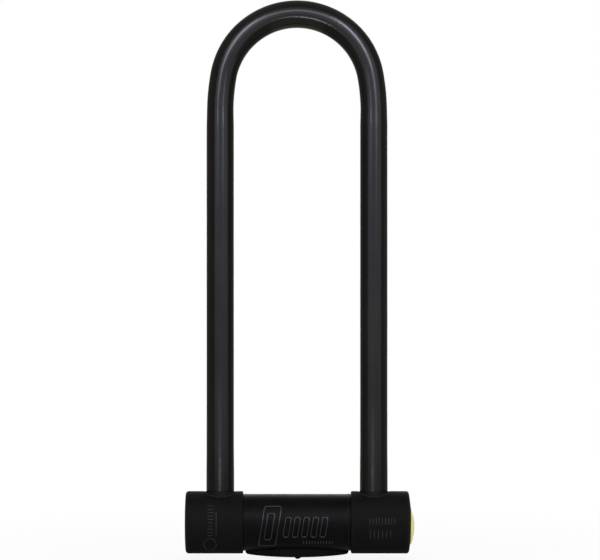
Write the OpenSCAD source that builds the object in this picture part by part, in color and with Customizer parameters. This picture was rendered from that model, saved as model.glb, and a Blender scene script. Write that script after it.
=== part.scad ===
// U lock: a bent steel shackle whose two feet stand in a tubular crossbar.
// A key cylinder on the underside of the crossbar turns a scroll cam, and the cam drives
// one deadbolt into a notch in each foot. The model is drawn closed but not locked.
// X runs along the crossbar, Y from front to back and Z up along the shackle's legs.
// The origin is on the crossbar's axis, midway between the legs. All sizes are in mm.

/* [Shackle] */
// Distance between the centre lines of the two legs
leg_spacing = 102.8; // [90:0.2:130]
// Diameter of the bare steel bar
bar_d = 17.6; // [14:0.2:20]
// Height of the crown's centre line over the crossbar's axis
crown_height = 340.4; // [180:0.2:420]
// How much smaller the crown's radius is than half of the leg spacing
crown_ease = 1.4; // [0.6:0.1:3]
// Half of the angle that the crown's arc covers
crown_half_angle = 80; // [74:1:84]
// Gap between the feet's ends and the inside of the tube's bottom
foot_floor = 2.9; // [2.5:0.1:5]
// Chamfer round the end of each foot
foot_chamfer = 2; // [1.8:0.1:3]

/* [Vinyl sleeve] */
// Thickness of the vinyl on the legs
vinyl_t = 0.5; // [0.3:0.05:0.9]
// Thickness of the vinyl where it is stretched over the bend
bend_vinyl_t = 0.3; // [0.2:0.05:0.6]
// Thickness of the vinyl over the crown, where it is pushed together
crown_vinyl_t = 0.7; // [0.4:0.05:1]
// Gap between the collars' tops and the end of the vinyl
vinyl_gap = 0.4; // [0.3:0.1:3]

/* [Tube and end blocks] */
// Metal of an end block beside the foot's socket, at the crossbar's axis
socket_wall = 5.2; // [4.8:0.1:7]
// Wall of the hardened tube
tube_wall = 3; // [2:0.1:4]

/* [Collars and middle sleeve] */
// Thickness of the collars over the tube
collar_t = 3.75; // [3:0.05:6]
// Thickness of the middle sleeve over the tube
sleeve_t = 1.8; // [1.4:0.05:2.8]
// How far each collar reaches inwards from its leg's centre line
collar_in = 15.3; // [12.5:0.1:20]
// How far each collar reaches outwards from its leg's centre line, to the rounded rim of its end
collar_out = 23.6; // [20:0.1:32]
// Rounding of the collars' outer edges
collar_round = 2; // [0.8:0.1:2.5]
// Rounding of the collars' inner edges
collar_inner_round = 0.8; // [0.3:0.1:1.2]
// Rise of the right collar's domed end
dome_rise = 1.6; // [0.8:0.1:2]
// Thickness of the collars' end walls
collar_wall = 2.4; // [2:0.1:3.5]
// Radial gap round each leg where it passes through the collar
leg_gap = 1.6; // [1.2:0.1:2.2]
// Thickness of the lip with which each seal hugs its leg
seal_lip_t = 0.55; // [0.4:0.05:0.7]

/* [Deadbolts] */
// Diameter of the deadbolts
bolt_d = 12; // [10.5:0.1:13.5]
// Travel of the deadbolts
bolt_travel = 5.5; // [4.5:0.1:6.2]
// Gap between a drawn back bolt and the foot
bolt_gap = 0.6; // [0.4:0.1:1]
// Diameter of the pin that drives each bolt
bolt_pin_d = 3; // [2.4:0.1:3.4]
// Thickness of the scroll cam
cam_t = 3.2; // [2.6:0.1:3.6]
// Width of metal outside the cam's slots
cam_rim = 1.25; // [1:0.05:1.8]
// Gap between the cam's rim and the tube
cam_side_gap = 0.8; // [0.6:0.1:1.5]
// Thickness of the washer under the cam
cam_washer_t = 0.4; // [0.3:0.05:0.6]

/* [Key cylinder] */
// Diameter of the detainer discs' chamber in the barrel
chamber_d = 8.6; // [7.8:0.1:9.6]
// Wall of the barrel round the chamber
barrel_wall = 1.4; // [1.1:0.1:1.8]
// Wall of the housing round the barrel
housing_wall = 1.9; // [1.7:0.1:2.6]
// Number of detainer discs
disc_count = 7; // [5:1:8]
// Thickness of the hardened front disc
front_disc_t = 1.9; // [1.2:0.1:2.4]
// Thickness of the washers between the discs
spacer_t = 0.4; // [0.3:0.05:0.5]
// Width of the keyway
keyway_w = 2.2; // [1.6:0.1:2.6]
// Height of the keyway
keyway_h = 6; // [5:0.1:6.6]

/* [Keyway cover] */
// Gap between the oval bezel's ends and the collars
bezel_inset = 1.6; // [0.6:0.1:6]
// Wall of the bezel beside the cylinder's housing
bezel_wall = 0.7; // [0.5:0.05:2.5]
// How far the bezel stands out under the middle sleeve
bezel_proud = 4.3; // [4:0.05:6]
// How much shallower the bezel is at its ends than in its middle
bezel_fall = 1.65; // [0.8:0.05:1.9]
// Width of bezel on each side of the dust shutter's plate
shutter_side = 2.9; // [2.6:0.1:3.4]
// How far the plate reaches past the key hole, at each end
shutter_lap = 3.1; // [2.8:0.1:3.6]
// Thickness of the dust shutter's plate
shutter_t = 1; // [0.8:0.05:1.2]
// Diameter of the thumb nub's curve
nub_d = 5.5; // [4.5:0.1:6.2]
// How far the thumb nub stands out under the bezel
nub_proud = 1.2; // [0.8:0.05:1.8]

/* [End cap] */
// Diameter of the yellow cap on the right end
cap_d = 24; // [20:0.2:27]
// How far the cap's crown stands out of the collar
cap_proud = 2; // [1:0.1:3]
// How far the cap's centre lies below the crossbar's axis
cap_drop = 2.5; // [0:0.1:3.5]

/* [Hidden] */
$fn = 96;

// Clearances
slide_fit = 0.3; // between a moving piece and the piece it moves in
bolt_fit = 0.2; // round a bolt in its guide
turn_fit = 0.1; // round the barrel in its housing
press_gap = 0.05; // round a pin, a block or a washer that doesn't move
cover_gap = 0.15; // between the tube and the covers on it
past = 2; // how far a cut runs past the face that it opens
draw = 0.03; // how much the bar is drawn thinner at each bend
lap_angle = 0.3; // angle by which each bent stretch reaches into the next

// Shackle
leg_x = leg_spacing / 2;
bar_r = bar_d / 2;
vinyl_r = bar_r + vinyl_t;
bend_vinyl_r = bar_r + bend_vinyl_t;
crown_vinyl_r = bar_r + crown_vinyl_t;
crown_r = leg_x - crown_ease;
crown_z = crown_height - crown_r;
easing_angle = 90 - crown_half_angle;
easing_r = crown_r + crown_ease / (1 - sin(crown_half_angle));
easing_x = leg_x - easing_r;
easing_z = crown_z - (easing_r - crown_r) * cos(crown_half_angle);

// Crossbar
tube_in_r = bar_r + socket_wall;
tube_r = tube_in_r + tube_wall;
cover_in_r = tube_r + cover_gap;
collar_r = cover_in_r + collar_t;
sleeve_r = cover_in_r + sleeve_t;
body_half = leg_x + collar_out;
sleeve_half = leg_x - collar_in;
tube_half = body_half - collar_wall - press_gap;
foot_z = foot_floor - tube_in_r;
dome_r = (pow(collar_r - collar_round, 2) + pow(dome_rise, 2)) / (2 * dome_rise);
vinyl_end_z = collar_r + vinyl_gap;
foot_bore_r = bar_r + slide_fit;
leg_hole_r = bar_r + leg_gap;
tube_leg_hole_r = foot_bore_r + slide_fit;
seal_height = sqrt(pow(collar_r, 2) - pow(leg_hole_r, 2));
seal_lip_z = vinyl_end_z - slide_fit;

// Scroll cam and deadbolts
bolt_r = bolt_d / 2;
bolt_pin_r = bolt_pin_d / 2;
bolt_tip_x = leg_x - bar_r - bolt_gap;
slot_r = bolt_pin_r + cover_gap;
cam_r = tube_in_r - cam_side_gap;
pin_open_r = cam_r - cam_rim - slot_r - bolt_travel;
notch_depth = bolt_travel - bolt_gap + slide_fit;
bolt_root_x = cam_r + slide_fit + cover_gap;
cam_z = -0.8;
cam_top_z = cam_z + cam_t;
tongue_z = cam_top_z + slide_fit;
tongue_half_w = bolt_r / 2;
tongue_top_z = sqrt(pow(bolt_r, 2) - pow(tongue_half_w, 2)) - cover_gap;
tongue_wall = 1.1; // metal of the tongue past its pin
tongue_overlap = 6; // length by which the tongue runs into its bolt
bolt_chamfer = 0.8;
block_r = tube_in_r - press_gap;
end_block_x = leg_x - foot_bore_r - 2;
guide_x = bolt_root_x + bolt_travel + 1;
slot_steps = 18;
slot_turn = 90;

// Roll pins
end_pin_r = 2;
end_pin_x = (leg_x + foot_bore_r + tube_half) / 2;
guide_pin_r = 1.5;
guide_pin_x = (guide_x + end_block_x) / 2;
guide_pin_z = (bolt_r + bolt_fit + block_r) / 2 - 0.4;
housing_pin_r = 1.1;

// Key cylinder, from the cam down
cam_washer_top_z = cam_z - press_gap;
housing_top_z = cam_washer_top_z - cam_washer_t - press_gap;
chamber_r = chamber_d / 2;
barrel_r = chamber_r + barrel_wall;
barrel_bore_r = barrel_r + turn_fit;
housing_r = barrel_bore_r + housing_wall;
housing_hole_r = housing_r + turn_fit;
barrel_top_z = housing_top_z - turn_fit;
chamber_roof = 2.5; // metal over the chamber
chamber_top_z = barrel_top_z - chamber_roof;
face_z = -sleeve_r + 0.35; // the housing's lower face
barrel_face_z = face_z + 0.2;
flange_r = housing_r + 2.2;
flange_t = 2;
housing_pin_x = housing_r + 0.3; // the pins lie in grooves in the housing's flanks
housing_pin_z = 2 - tube_in_r;
tang_w = 3.2;
tang_l = 7;
tang_fit = 0.1;
circlip_depth = 0.55; // how far the circlip sits in the barrel's groove
circlip_t = 0.5;
circlip_z = housing_top_z - 1.15;
circlip_r = barrel_r + 0.9;
circlip_mouth = 6;
disc_r = chamber_r - turn_fit;
stack_z = barrel_face_z + press_gap + front_disc_t + press_gap;
disc_pitch = (chamber_top_z - press_gap - stack_z) / disc_count;
disc_t = disc_pitch - spacer_t;
sidebar_w = 1.8;
sidebar_depth = 0.5; // how deep the sidebar sits in the discs' gates
sidebar_z = stack_z + disc_pitch;
sidebar_top_z = chamber_top_z - disc_pitch;
sidebar_r = chamber_r - sidebar_depth;
gate_r = sidebar_r - turn_fit;
groove_r = barrel_bore_r + 1;

// Bezel and dust shutter
bezel_a = sleeve_half - bezel_inset;
bezel_b = housing_hole_r + bezel_wall;
bezel_z = -sleeve_r - bezel_proud;
bezel_crown_r = (pow(bezel_a, 2) + pow(bezel_fall, 2)) / (2 * bezel_fall);
bezel_steps = 72;
peg_r = 1.8;
peg_x = bezel_a - 6.5;
shutter_z = bezel_z + 1.35;
key_hole_r = barrel_r - 1.3;
shutter_x = key_hole_r + shutter_lap;
shutter_y = bezel_b - shutter_side;
shutter_travel = shutter_x + key_hole_r + 0.2;
shutter_fit = 0.1;
window_end = 2; // how far the plate reaches past the window's end
window_y = shutter_y - 1.3;
nub_x = 0.45;
nub_r = nub_d / 2;
nub_y = window_y - 1.1;
nub_z = bezel_z - nub_proud;
o_ring_r = 0.45;
o_ring_seat = 0.95; // height of the space for the ring
o_ring_centre_r = (barrel_bore_r + housing_r) / 2;

// End cap
cap_r = cap_d / 2;
cap_x = body_half + dome_rise + cap_proud;
cap_recess = 1.7; // depth of the cap's seat below the dome's crown
cap_seat_x = body_half + dome_rise - cap_recess;
cap_edge = 1.5; // thickness of the cap at its edge
cap_dome = cap_x - cap_seat_x - cap_edge;
cap_dome_r = (pow(cap_r, 2) + pow(cap_dome, 2)) / (2 * cap_dome);
cap_hub_r = cap_r / 2;

// Half of the chord of a circle of radius r at the distance d from its centre
function chord(r, d) = sqrt(pow(r, 2) - pow(d, 2));

// Points of an arc, from the angle a0 to the angle a1
function arc(x, y, r, a0, a1, steps = 6) =
    [for (i = [0:steps]) [x, y] + r * [cos(a0 + (a1 - a0) * i / steps), sin(a0 + (a1 - a0) * i / steps)]];

// The scroll: centre of a driving pin in the cam's own frame when the cam has turned by a
function scroll_radius(a) = pin_open_r + bolt_travel * a / slot_turn;
function scroll_point(a) = scroll_radius(a) * [cos(a), -sin(a)];
function scroll_slope(a) = bolt_travel * 180 / (PI * slot_turn) * [cos(a), -sin(a)]
    + scroll_radius(a) * [-sin(a), -cos(a)];
function scroll_side(a, w) = scroll_point(a)
    + w * [-scroll_slope(a)[1], scroll_slope(a)[0]] / norm(scroll_slope(a));

// Cylinders along each axis, from one coordinate to another
module rod_x(x0, x1, r) {
    translate([x0, 0, 0]) rotate([0, 90, 0]) cylinder(h = x1 - x0, r = r);
}

module rod_y(half, r) {
    rotate([90, 0, 0]) cylinder(h = 2 * half, r = r, center = true);
}

module rod_z(z0, z1, r) {
    translate([0, 0, z0]) cylinder(h = z1 - z0, r = r);
}

module ring_z(z0, z1, r, hole_r) {
    difference() {
        rod_z(z0, z1, r);
        rod_z(z0 - past, z1 + past, hole_r);
    }
}

// A box between two corners
module block(low, high) {
    translate(low) cube(high - low);
}

// The same thing on the right (1) and on the left (-1)
module on_side(side) {
    if (side > 0) children();
    else mirror([1, 0, 0]) children();
}

module both_sides() {
    children();
    mirror([1, 0, 0]) children();
}

// A bar that follows an arc in the XZ plane
module arc_bar(x, z, bend_r, a0, a1, r) {
    translate([x, 0, z]) rotate([90, 0, 0]) rotate([0, 0, a0])
        rotate_extrude(angle = a1 - a0) translate([bend_r, 0]) circle(r = r);
}

// The bent bar: legs from z0 up, two slow curves and the crown between them
module bent_bar(z0, leg_r, bend_r, top_r) {
    low = easing_angle - lap_angle;
    arc_bar(0, crown_z, crown_r, low, 180 - low, top_r - 2 * draw);
    both_sides() {
        arc_bar(easing_x, easing_z, easing_r, -lap_angle, easing_angle, bend_r - draw);
        translate([leg_x, 0, 0]) rod_z(z0, easing_z, leg_r);
    }
}

module shackle() {
    color("#6f7072")
    difference() {
        union() {
            bent_bar(foot_z + foot_chamfer, bar_r, bar_r, bar_r);
            both_sides() translate([leg_x, 0, 0])
                rod_z_cone(foot_z, foot_z + foot_chamfer, bar_r - foot_chamfer, bar_r);
        }
        both_sides() foot_notch();
    }
}

module rod_z_cone(z0, z1, r0, r1) {
    translate([0, 0, z0]) cylinder(h = z1 - z0, r1 = r0, r2 = r1);
}

// The notch that a deadbolt enters, on the inner side of the right foot
module foot_notch() {
    half_h = bolt_r + slide_fit;
    inner_x = leg_x - bar_r;
    block([inner_x - past, -bar_d, -half_h], [inner_x + notch_depth, bar_d, half_h]);
}

module shackle_sleeve() {
    hole_r = bar_r + press_gap;
    color("#0b0b0c")
    difference() {
        bent_bar(vinyl_end_z, vinyl_r, bend_vinyl_r, crown_vinyl_r);
        bent_bar(foot_z, hole_r, hole_r, hole_r);
    }
}

// Outline of a seal: a ring that fills the collar's mouth, and a lip that hugs the leg
module seal_outline() {
    ring_r = leg_hole_r - press_gap;
    lip_r = foot_bore_r + seal_lip_t;
    polygon([
        [foot_bore_r, 0], [ring_r, 0], [ring_r, seal_height], [lip_r, seal_height],
        [lip_r, seal_lip_z], [foot_bore_r, seal_lip_z]
    ]);
}

// A rubber seal round the leg, seated on the tube's top
module leg_seal(side) {
    color("#1b1b1c")
    difference() {
        on_side(side) translate([leg_x, 0, 0]) rotate_extrude() seal_outline();
        rod_x(-body_half, body_half, tube_r + press_gap);
    }
}

module left_leg_seal() { leg_seal(-1); }

module right_leg_seal() { leg_seal(1); }

// Outline of a collar, turned about the crossbar's axis: x is the radius and y lies along the axis
module collar_outline() {
    polygon(concat(
        [[0, sleeve_half]],
        arc(collar_r - collar_inner_round, sleeve_half + collar_inner_round, collar_inner_round, -90, 0),
        arc(collar_r - collar_round, body_half - collar_round, collar_round, 0, 90),
        [[0, body_half]]
    ));
}

// The hollow of a collar and its hole for the leg
module collar_cuts() {
    rod_x(sleeve_half - past, body_half - collar_wall, cover_in_r);
    translate([leg_x, 0, 0]) rod_z(0, collar_r + past, leg_hole_r);
}

module left_collar() {
    color("#161616")
    mirror([1, 0, 0]) difference() {
        rotate([0, 90, 0]) rotate_extrude() collar_outline();
        collar_cuts();
    }
}

module right_collar() {
    color("#161616")
    difference() {
        rotate([0, 90, 0]) rotate_extrude() {
            collar_outline();
            dome_outline(collar_r - collar_round, body_half - 1, body_half + dome_rise, dome_r);
        }
        collar_cuts();
        translate([0, 0, -cap_drop]) {
            rod_x(cap_seat_x, body_half + dome_rise + past, cap_r + slide_fit);
            rod_x(body_half - collar_wall - past, cap_seat_x + past, cap_hub_r + press_gap);
        }
    }
}

// Outline of a disc with a domed face: its radius, its flat face, its crown and the dome's radius
module dome_outline(r, y0, y1, curve_r) {
    intersection() {
        translate([0, y0]) square([r, y1 - y0]);
        translate([0, y1 - curve_r]) circle(r = curve_r, $fn = 720);
    }
}

module centre_sleeve() {
    color("#101011")
    difference() {
        rod_x(-sleeve_half, sleeve_half, sleeve_r);
        rod_x(-sleeve_half - past, sleeve_half + past, cover_in_r);
        rod_z(-sleeve_r - past, 0, housing_hole_r);
        both_sides() translate([peg_x, 0, 0]) rod_z(-sleeve_r - past, 0, peg_r + press_gap);
    }
}

module crossbar_tube() {
    color("#8a8c8f")
    difference() {
        rod_x(-tube_half, tube_half, tube_r);
        rod_x(-tube_half - past, tube_half + past, tube_in_r);
        both_sides() translate([leg_x, 0, 0]) rod_z(0, tube_r + past, tube_leg_hole_r);
        rod_z(-tube_r - past, 0, housing_hole_r);
        end_pin_set(press_gap);
        guide_pin_set(press_gap);
        housing_pin_set(press_gap);
    }
}

// Sets of roll pins along Y, or their holes when extra is added to the radius
module end_pin_set(extra = 0) {
    half = chord(tube_r, end_pin_r) - press_gap + past * sign(extra);
    both_sides() translate([end_pin_x, 0, 0]) rod_y(half, end_pin_r + extra);
}

module guide_pin_set(extra = 0) {
    half = chord(tube_r, guide_pin_z + guide_pin_r) - press_gap + past * sign(extra);
    both_sides() translate([guide_pin_x, 0, guide_pin_z]) rod_y(half, guide_pin_r + extra);
}

module housing_pin_set(extra = 0) {
    half = chord(tube_r, housing_pin_r - housing_pin_z) - press_gap + past * sign(extra);
    both_sides() translate([housing_pin_x, 0, housing_pin_z]) rod_y(half, housing_pin_r + extra);
}

module end_block_pins() { color("#b9babc") end_pin_set(); }

module guide_pins() { color("#b9babc") guide_pin_set(); }

module housing_pins() { color("#b9babc") housing_pin_set(); }

// A block that closes the tube's end, with the socket for the foot
module end_block(side) {
    floor_z = foot_z - slide_fit;
    cone_top_z = floor_z + foot_chamfer;
    color("#a3a5a8")
    difference() {
        on_side(side) difference() {
            rod_x(end_block_x, tube_half, block_r);
            translate([leg_x, 0, 0]) {
                rod_z(cone_top_z, tube_r, foot_bore_r);
                rod_z_cone(floor_z, cone_top_z, foot_bore_r - foot_chamfer, foot_bore_r);
            }
            rod_x(end_block_x - past, leg_x, bolt_r + bolt_fit);
        }
        end_pin_set(press_gap);
    }
}

module left_end_block() { end_block(-1); }

module right_end_block() { end_block(1); }

// A block in which a deadbolt slides
module bolt_guide(side) {
    color("#a3a5a8")
    difference() {
        on_side(side) difference() {
            rod_x(guide_x, end_block_x - press_gap, block_r);
            rod_x(guide_x - past, end_block_x + past, bolt_r + bolt_fit);
        }
        guide_pin_set(press_gap);
    }
}

module left_bolt_guide() { bolt_guide(-1); }

module right_bolt_guide() { bolt_guide(1); }

// A deadbolt with the flat tongue that reaches over the cam
module bolt(side) {
    tongue_x = pin_open_r - bolt_pin_r - tongue_wall;
    color("#c4c6c8")
    on_side(side) difference() {
        union() {
            rotate([0, 90, 0]) rotate_extrude() bolt_outline();
            block([tongue_x, -tongue_half_w, tongue_z],
                [bolt_root_x + tongue_overlap, tongue_half_w, tongue_top_z]);
        }
        translate([pin_open_r, 0, 0]) rod_z(tongue_z - past, tongue_top_z + past, bolt_pin_r + press_gap);
    }
}

// Outline of a deadbolt's round part, turned about its axis
module bolt_outline() {
    polygon([
        [0, bolt_root_x],
        [bolt_r, bolt_root_x],
        [bolt_r, bolt_tip_x - bolt_chamfer],
        [bolt_r - bolt_chamfer, bolt_tip_x],
        [0, bolt_tip_x]
    ]);
}

module left_bolt() { bolt(-1); }

module right_bolt() { bolt(1); }

// The pin that hangs from a tongue into the cam's slot
module bolt_pin(side) {
    color("#d8d9da")
    on_side(side) translate([pin_open_r, 0, 0]) rod_z(cam_z + slide_fit, tongue_top_z, bolt_pin_r);
}

module left_bolt_pin() { bolt_pin(-1); }

module right_bolt_pin() { bolt_pin(1); }

// One spiral slot of the cam
module scroll_slot() {
    for (a = [0, slot_turn]) translate(scroll_point(a)) circle(r = slot_r);
    polygon(concat(
        [for (i = [0:slot_steps]) scroll_side(slot_turn * i / slot_steps, slot_r)],
        [for (i = [slot_steps:-1:0]) scroll_side(slot_turn * i / slot_steps, -slot_r)]
    ));
}

module scroll_cam() {
    color("#b08d4a")
    translate([0, 0, cam_z]) linear_extrude(cam_t) difference() {
        circle(r = cam_r);
        scroll_slot();
        rotate(180) scroll_slot();
        square([tang_w, tang_l] + 2 * tang_fit * [1, 1], center = true);
    }
}

module cam_washer() {
    inner_r = norm([tang_w, tang_l]) / 2 + slide_fit;
    color("#d8d9da")
    ring_z(cam_washer_top_z - cam_washer_t, cam_washer_top_z, flange_r - 0.5, inner_r);
}

module cylinder_housing() {
    color("#c9a85c")
    difference() {
        union() {
            rod_z(face_z, housing_top_z, housing_r);
            rod_z(housing_top_z - flange_t, housing_top_z, flange_r);
        }
        rod_z(face_z - past, housing_top_z + past, barrel_bore_r);
        rod_z(circlip_z - press_gap, housing_top_z + past, circlip_r + turn_fit);
        block([0, -sidebar_w / 2 - turn_fit, sidebar_z], [groove_r, sidebar_w / 2 + turn_fit, sidebar_top_z]);
        housing_pin_set(press_gap);
    }
}

// The turning barrel: a chamber for the discs, a groove for the circlip and a flat tang on top
module cylinder_barrel() {
    color("#d2b36a")
    difference() {
        union() {
            rod_z(barrel_face_z, barrel_top_z, barrel_r);
            block([-tang_w / 2, -tang_l / 2, barrel_top_z - 1], [tang_w / 2, tang_l / 2, cam_top_z - 0.2]);
        }
        rod_z(barrel_face_z - past, chamber_top_z, chamber_r);
        ring_z(circlip_z - press_gap, circlip_z + circlip_t + press_gap,
            barrel_r + past, barrel_r - circlip_depth - press_gap);
        block([0, -sidebar_w / 2 - turn_fit, sidebar_z - turn_fit],
            [barrel_r + past, sidebar_w / 2 + turn_fit, sidebar_top_z + turn_fit]);
    }
}

// A disc of the lock with its keyway
module keyed_disc(z0, t, r) {
    translate([0, 0, z0]) linear_extrude(t) difference() {
        circle(r = r);
        square([keyway_w, keyway_h], center = true);
    }
}

module front_disc() {
    color("#dcdddf") keyed_disc(barrel_face_z + press_gap, front_disc_t, disc_r);
}

// The coded discs, with the gates that the sidebar drops into
module detainer_discs() {
    gate = sidebar_w / 2 + turn_fit;
    color("#c79a3e")
    for (i = [0:disc_count - 1])
        difference() {
            keyed_disc(stack_z + i * disc_pitch, disc_t, disc_r);
            block([gate_r, -gate, stack_z + i * disc_pitch - past],
                [chamber_r, gate, stack_z + i * disc_pitch + disc_t + past]);
        }
}

module spacer_washers() {
    edge = press_gap / 2;
    color("#c9cacc")
    for (i = [0:disc_count - 1]) {
        z0 = stack_z + i * disc_pitch + disc_t;
        ring_z(z0 + edge, z0 + spacer_t - edge, gate_r - turn_fit, keyway_h / 2 + turn_fit);
    }
}

module sidebar() {
    outer_r = chord(barrel_r, sidebar_w / 2) - press_gap;
    color("#e2e3e4")
    block([sidebar_r, -sidebar_w / 2, sidebar_z], [outer_r, sidebar_w / 2, sidebar_top_z]);
}

module barrel_circlip() {
    color("#9b9da0")
    difference() {
        ring_z(circlip_z, circlip_z + circlip_t, circlip_r, barrel_r - circlip_depth);
        block([-circlip_r - past, -circlip_mouth / 2, circlip_z - past],
            [0, circlip_mouth / 2, circlip_z + circlip_t + past]);
    }
}

module cylinder_o_ring() {
    color("#242425")
    translate([0, 0, face_z - o_ring_seat / 2])
        rotate_extrude() translate([o_ring_centre_r, 0]) circle(r = o_ring_r);
}

// An oval with half axes a and b
module oval(a, b) {
    polygon([for (i = [0:bezel_steps - 1]) [a * cos(360 * i / bezel_steps), b * sin(360 * i / bezel_steps)]]);
}

// The oval bezel that carries the dust shutter over the keyway
module keyway_bezel() {
    color("#141414") {
        difference() {
            intersection() {
                translate([0, 0, bezel_z - past]) linear_extrude(-bezel_z) oval(bezel_a, bezel_b);
                translate([0, 0, bezel_z + bezel_crown_r]) rod_y(2 * bezel_b, bezel_crown_r, $fn = 1440);
            }
            rod_x(-body_half, body_half, sleeve_r + press_gap);
            rod_z(face_z - o_ring_seat, 0, housing_hole_r);
            rod_z(shutter_z + shutter_t, 0, key_hole_r);
            shutter_channel();
            shutter_window();
        }
        both_sides() translate([peg_x, 0, 0]) rod_z(-sleeve_r - 1, -cover_in_r, peg_r);
    }
}

// The space that the shutter's plate slides in
module shutter_channel() {
    side = shutter_y + shutter_fit;
    block([-shutter_x - slide_fit, -side, shutter_z - shutter_fit],
        [shutter_x + shutter_travel + slide_fit, side, shutter_z + shutter_t + shutter_fit]);
}

// The opening in the bezel's face, in which the nub travels
module shutter_window() {
    block([-shutter_x + window_end, -window_y, bezel_z - past],
        [shutter_x + shutter_travel - window_end, window_y, shutter_z]);
}

module dust_shutter() {
    color("#1e1e1f") {
        block([-shutter_x, -shutter_y, shutter_z], [shutter_x, shutter_y, shutter_z + shutter_t]);
        intersection() {
            translate([nub_x, 0, nub_z + nub_r]) rod_y(nub_y, nub_r);
            block([nub_x - nub_r, -nub_y, nub_z], [nub_x + nub_r, nub_y, shutter_z + shutter_t / 2]);
        }
    }
}

// The domed yellow cap on the right end, with the hub that holds it in the collar
module end_cap() {
    color("#dcd27c")
    translate([0, 0, -cap_drop]) rotate([0, 90, 0]) rotate_extrude() {
        dome_outline(cap_r, cap_seat_x + press_gap, cap_x, cap_dome_r);
        translate([0, tube_half + press_gap]) square([cap_hub_r, cap_seat_x + cap_edge - tube_half]);
    }
}

shackle();
shackle_sleeve();
left_leg_seal();
right_leg_seal();
left_collar();
right_collar();
centre_sleeve();
crossbar_tube();
left_end_block();
right_end_block();
end_block_pins();
end_cap();
left_bolt_guide();
right_bolt_guide();
guide_pins();
left_bolt();
right_bolt();
left_bolt_pin();
right_bolt_pin();
scroll_cam();
cam_washer();
cylinder_housing();
housing_pins();
cylinder_barrel();
front_disc();
detainer_discs();
spacer_washers();
sidebar();
barrel_circlip();
cylinder_o_ring();
keyway_bezel();
dust_shutter();
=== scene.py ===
"""A bicycle U lock with a long shackle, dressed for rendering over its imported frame.

Sizes are in metres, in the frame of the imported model: X along the crossbar, Z up the shackle,
and the origin at the middle of the crossbar.
"""

import logging
import math
from dataclasses import dataclass, field
from enum import Enum
from typing import Optional, Sequence, Union

import bmesh
import bpy
import numpy as np
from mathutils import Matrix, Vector


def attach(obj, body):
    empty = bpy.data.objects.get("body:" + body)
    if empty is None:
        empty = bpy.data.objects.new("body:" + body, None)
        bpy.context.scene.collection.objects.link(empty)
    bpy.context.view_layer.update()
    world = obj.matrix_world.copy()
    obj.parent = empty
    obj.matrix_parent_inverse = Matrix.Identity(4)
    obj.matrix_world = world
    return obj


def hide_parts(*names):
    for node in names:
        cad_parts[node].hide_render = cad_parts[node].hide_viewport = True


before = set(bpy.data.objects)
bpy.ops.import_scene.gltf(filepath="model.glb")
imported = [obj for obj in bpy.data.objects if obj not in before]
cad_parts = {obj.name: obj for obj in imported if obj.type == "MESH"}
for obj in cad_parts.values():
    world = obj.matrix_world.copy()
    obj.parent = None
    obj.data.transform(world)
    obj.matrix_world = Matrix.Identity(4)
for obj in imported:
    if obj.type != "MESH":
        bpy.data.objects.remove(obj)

log = logging.getLogger("u_lock")

MM = 0.001
COOL = (0.84, 0.86, 1.0)
WARM = (1.0, 0.95, 0.78)
WHITE = (1.0, 1.0, 1.0, 1.0)
FELT = (0.02, 0.02, 0.02, 1.0)
PAPER = ((0.86, 0.86, 0.86), (0.9, 0.9, 0.9))
EDGE_ATTRIBUTE = "edge_wear"
WELD = 1e-6
DOUBLES = 1e-7
CORNER_POINTS = 4
RIB_POINTS = 9
RIB_SIDES = 10
RIB_BLUNTNESS = 8.0
RIB_END = 0.2

Colour = tuple[float, float, float]
Point = tuple[float, float, float]
Line = Sequence[tuple[float, float]]
SceneObject = bpy.types.Object
NodeSocket = bpy.types.NodeSocket
NodeTree = bpy.types.NodeTree
Material = bpy.types.Material
Number = Union[float, NodeSocket]
SocketValue = Union[float, int, bool, Sequence[float], Material]
Feed = Union[SocketValue, NodeSocket]
Feeds = dict[Union[str, int], Feed]


# Nodes


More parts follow.
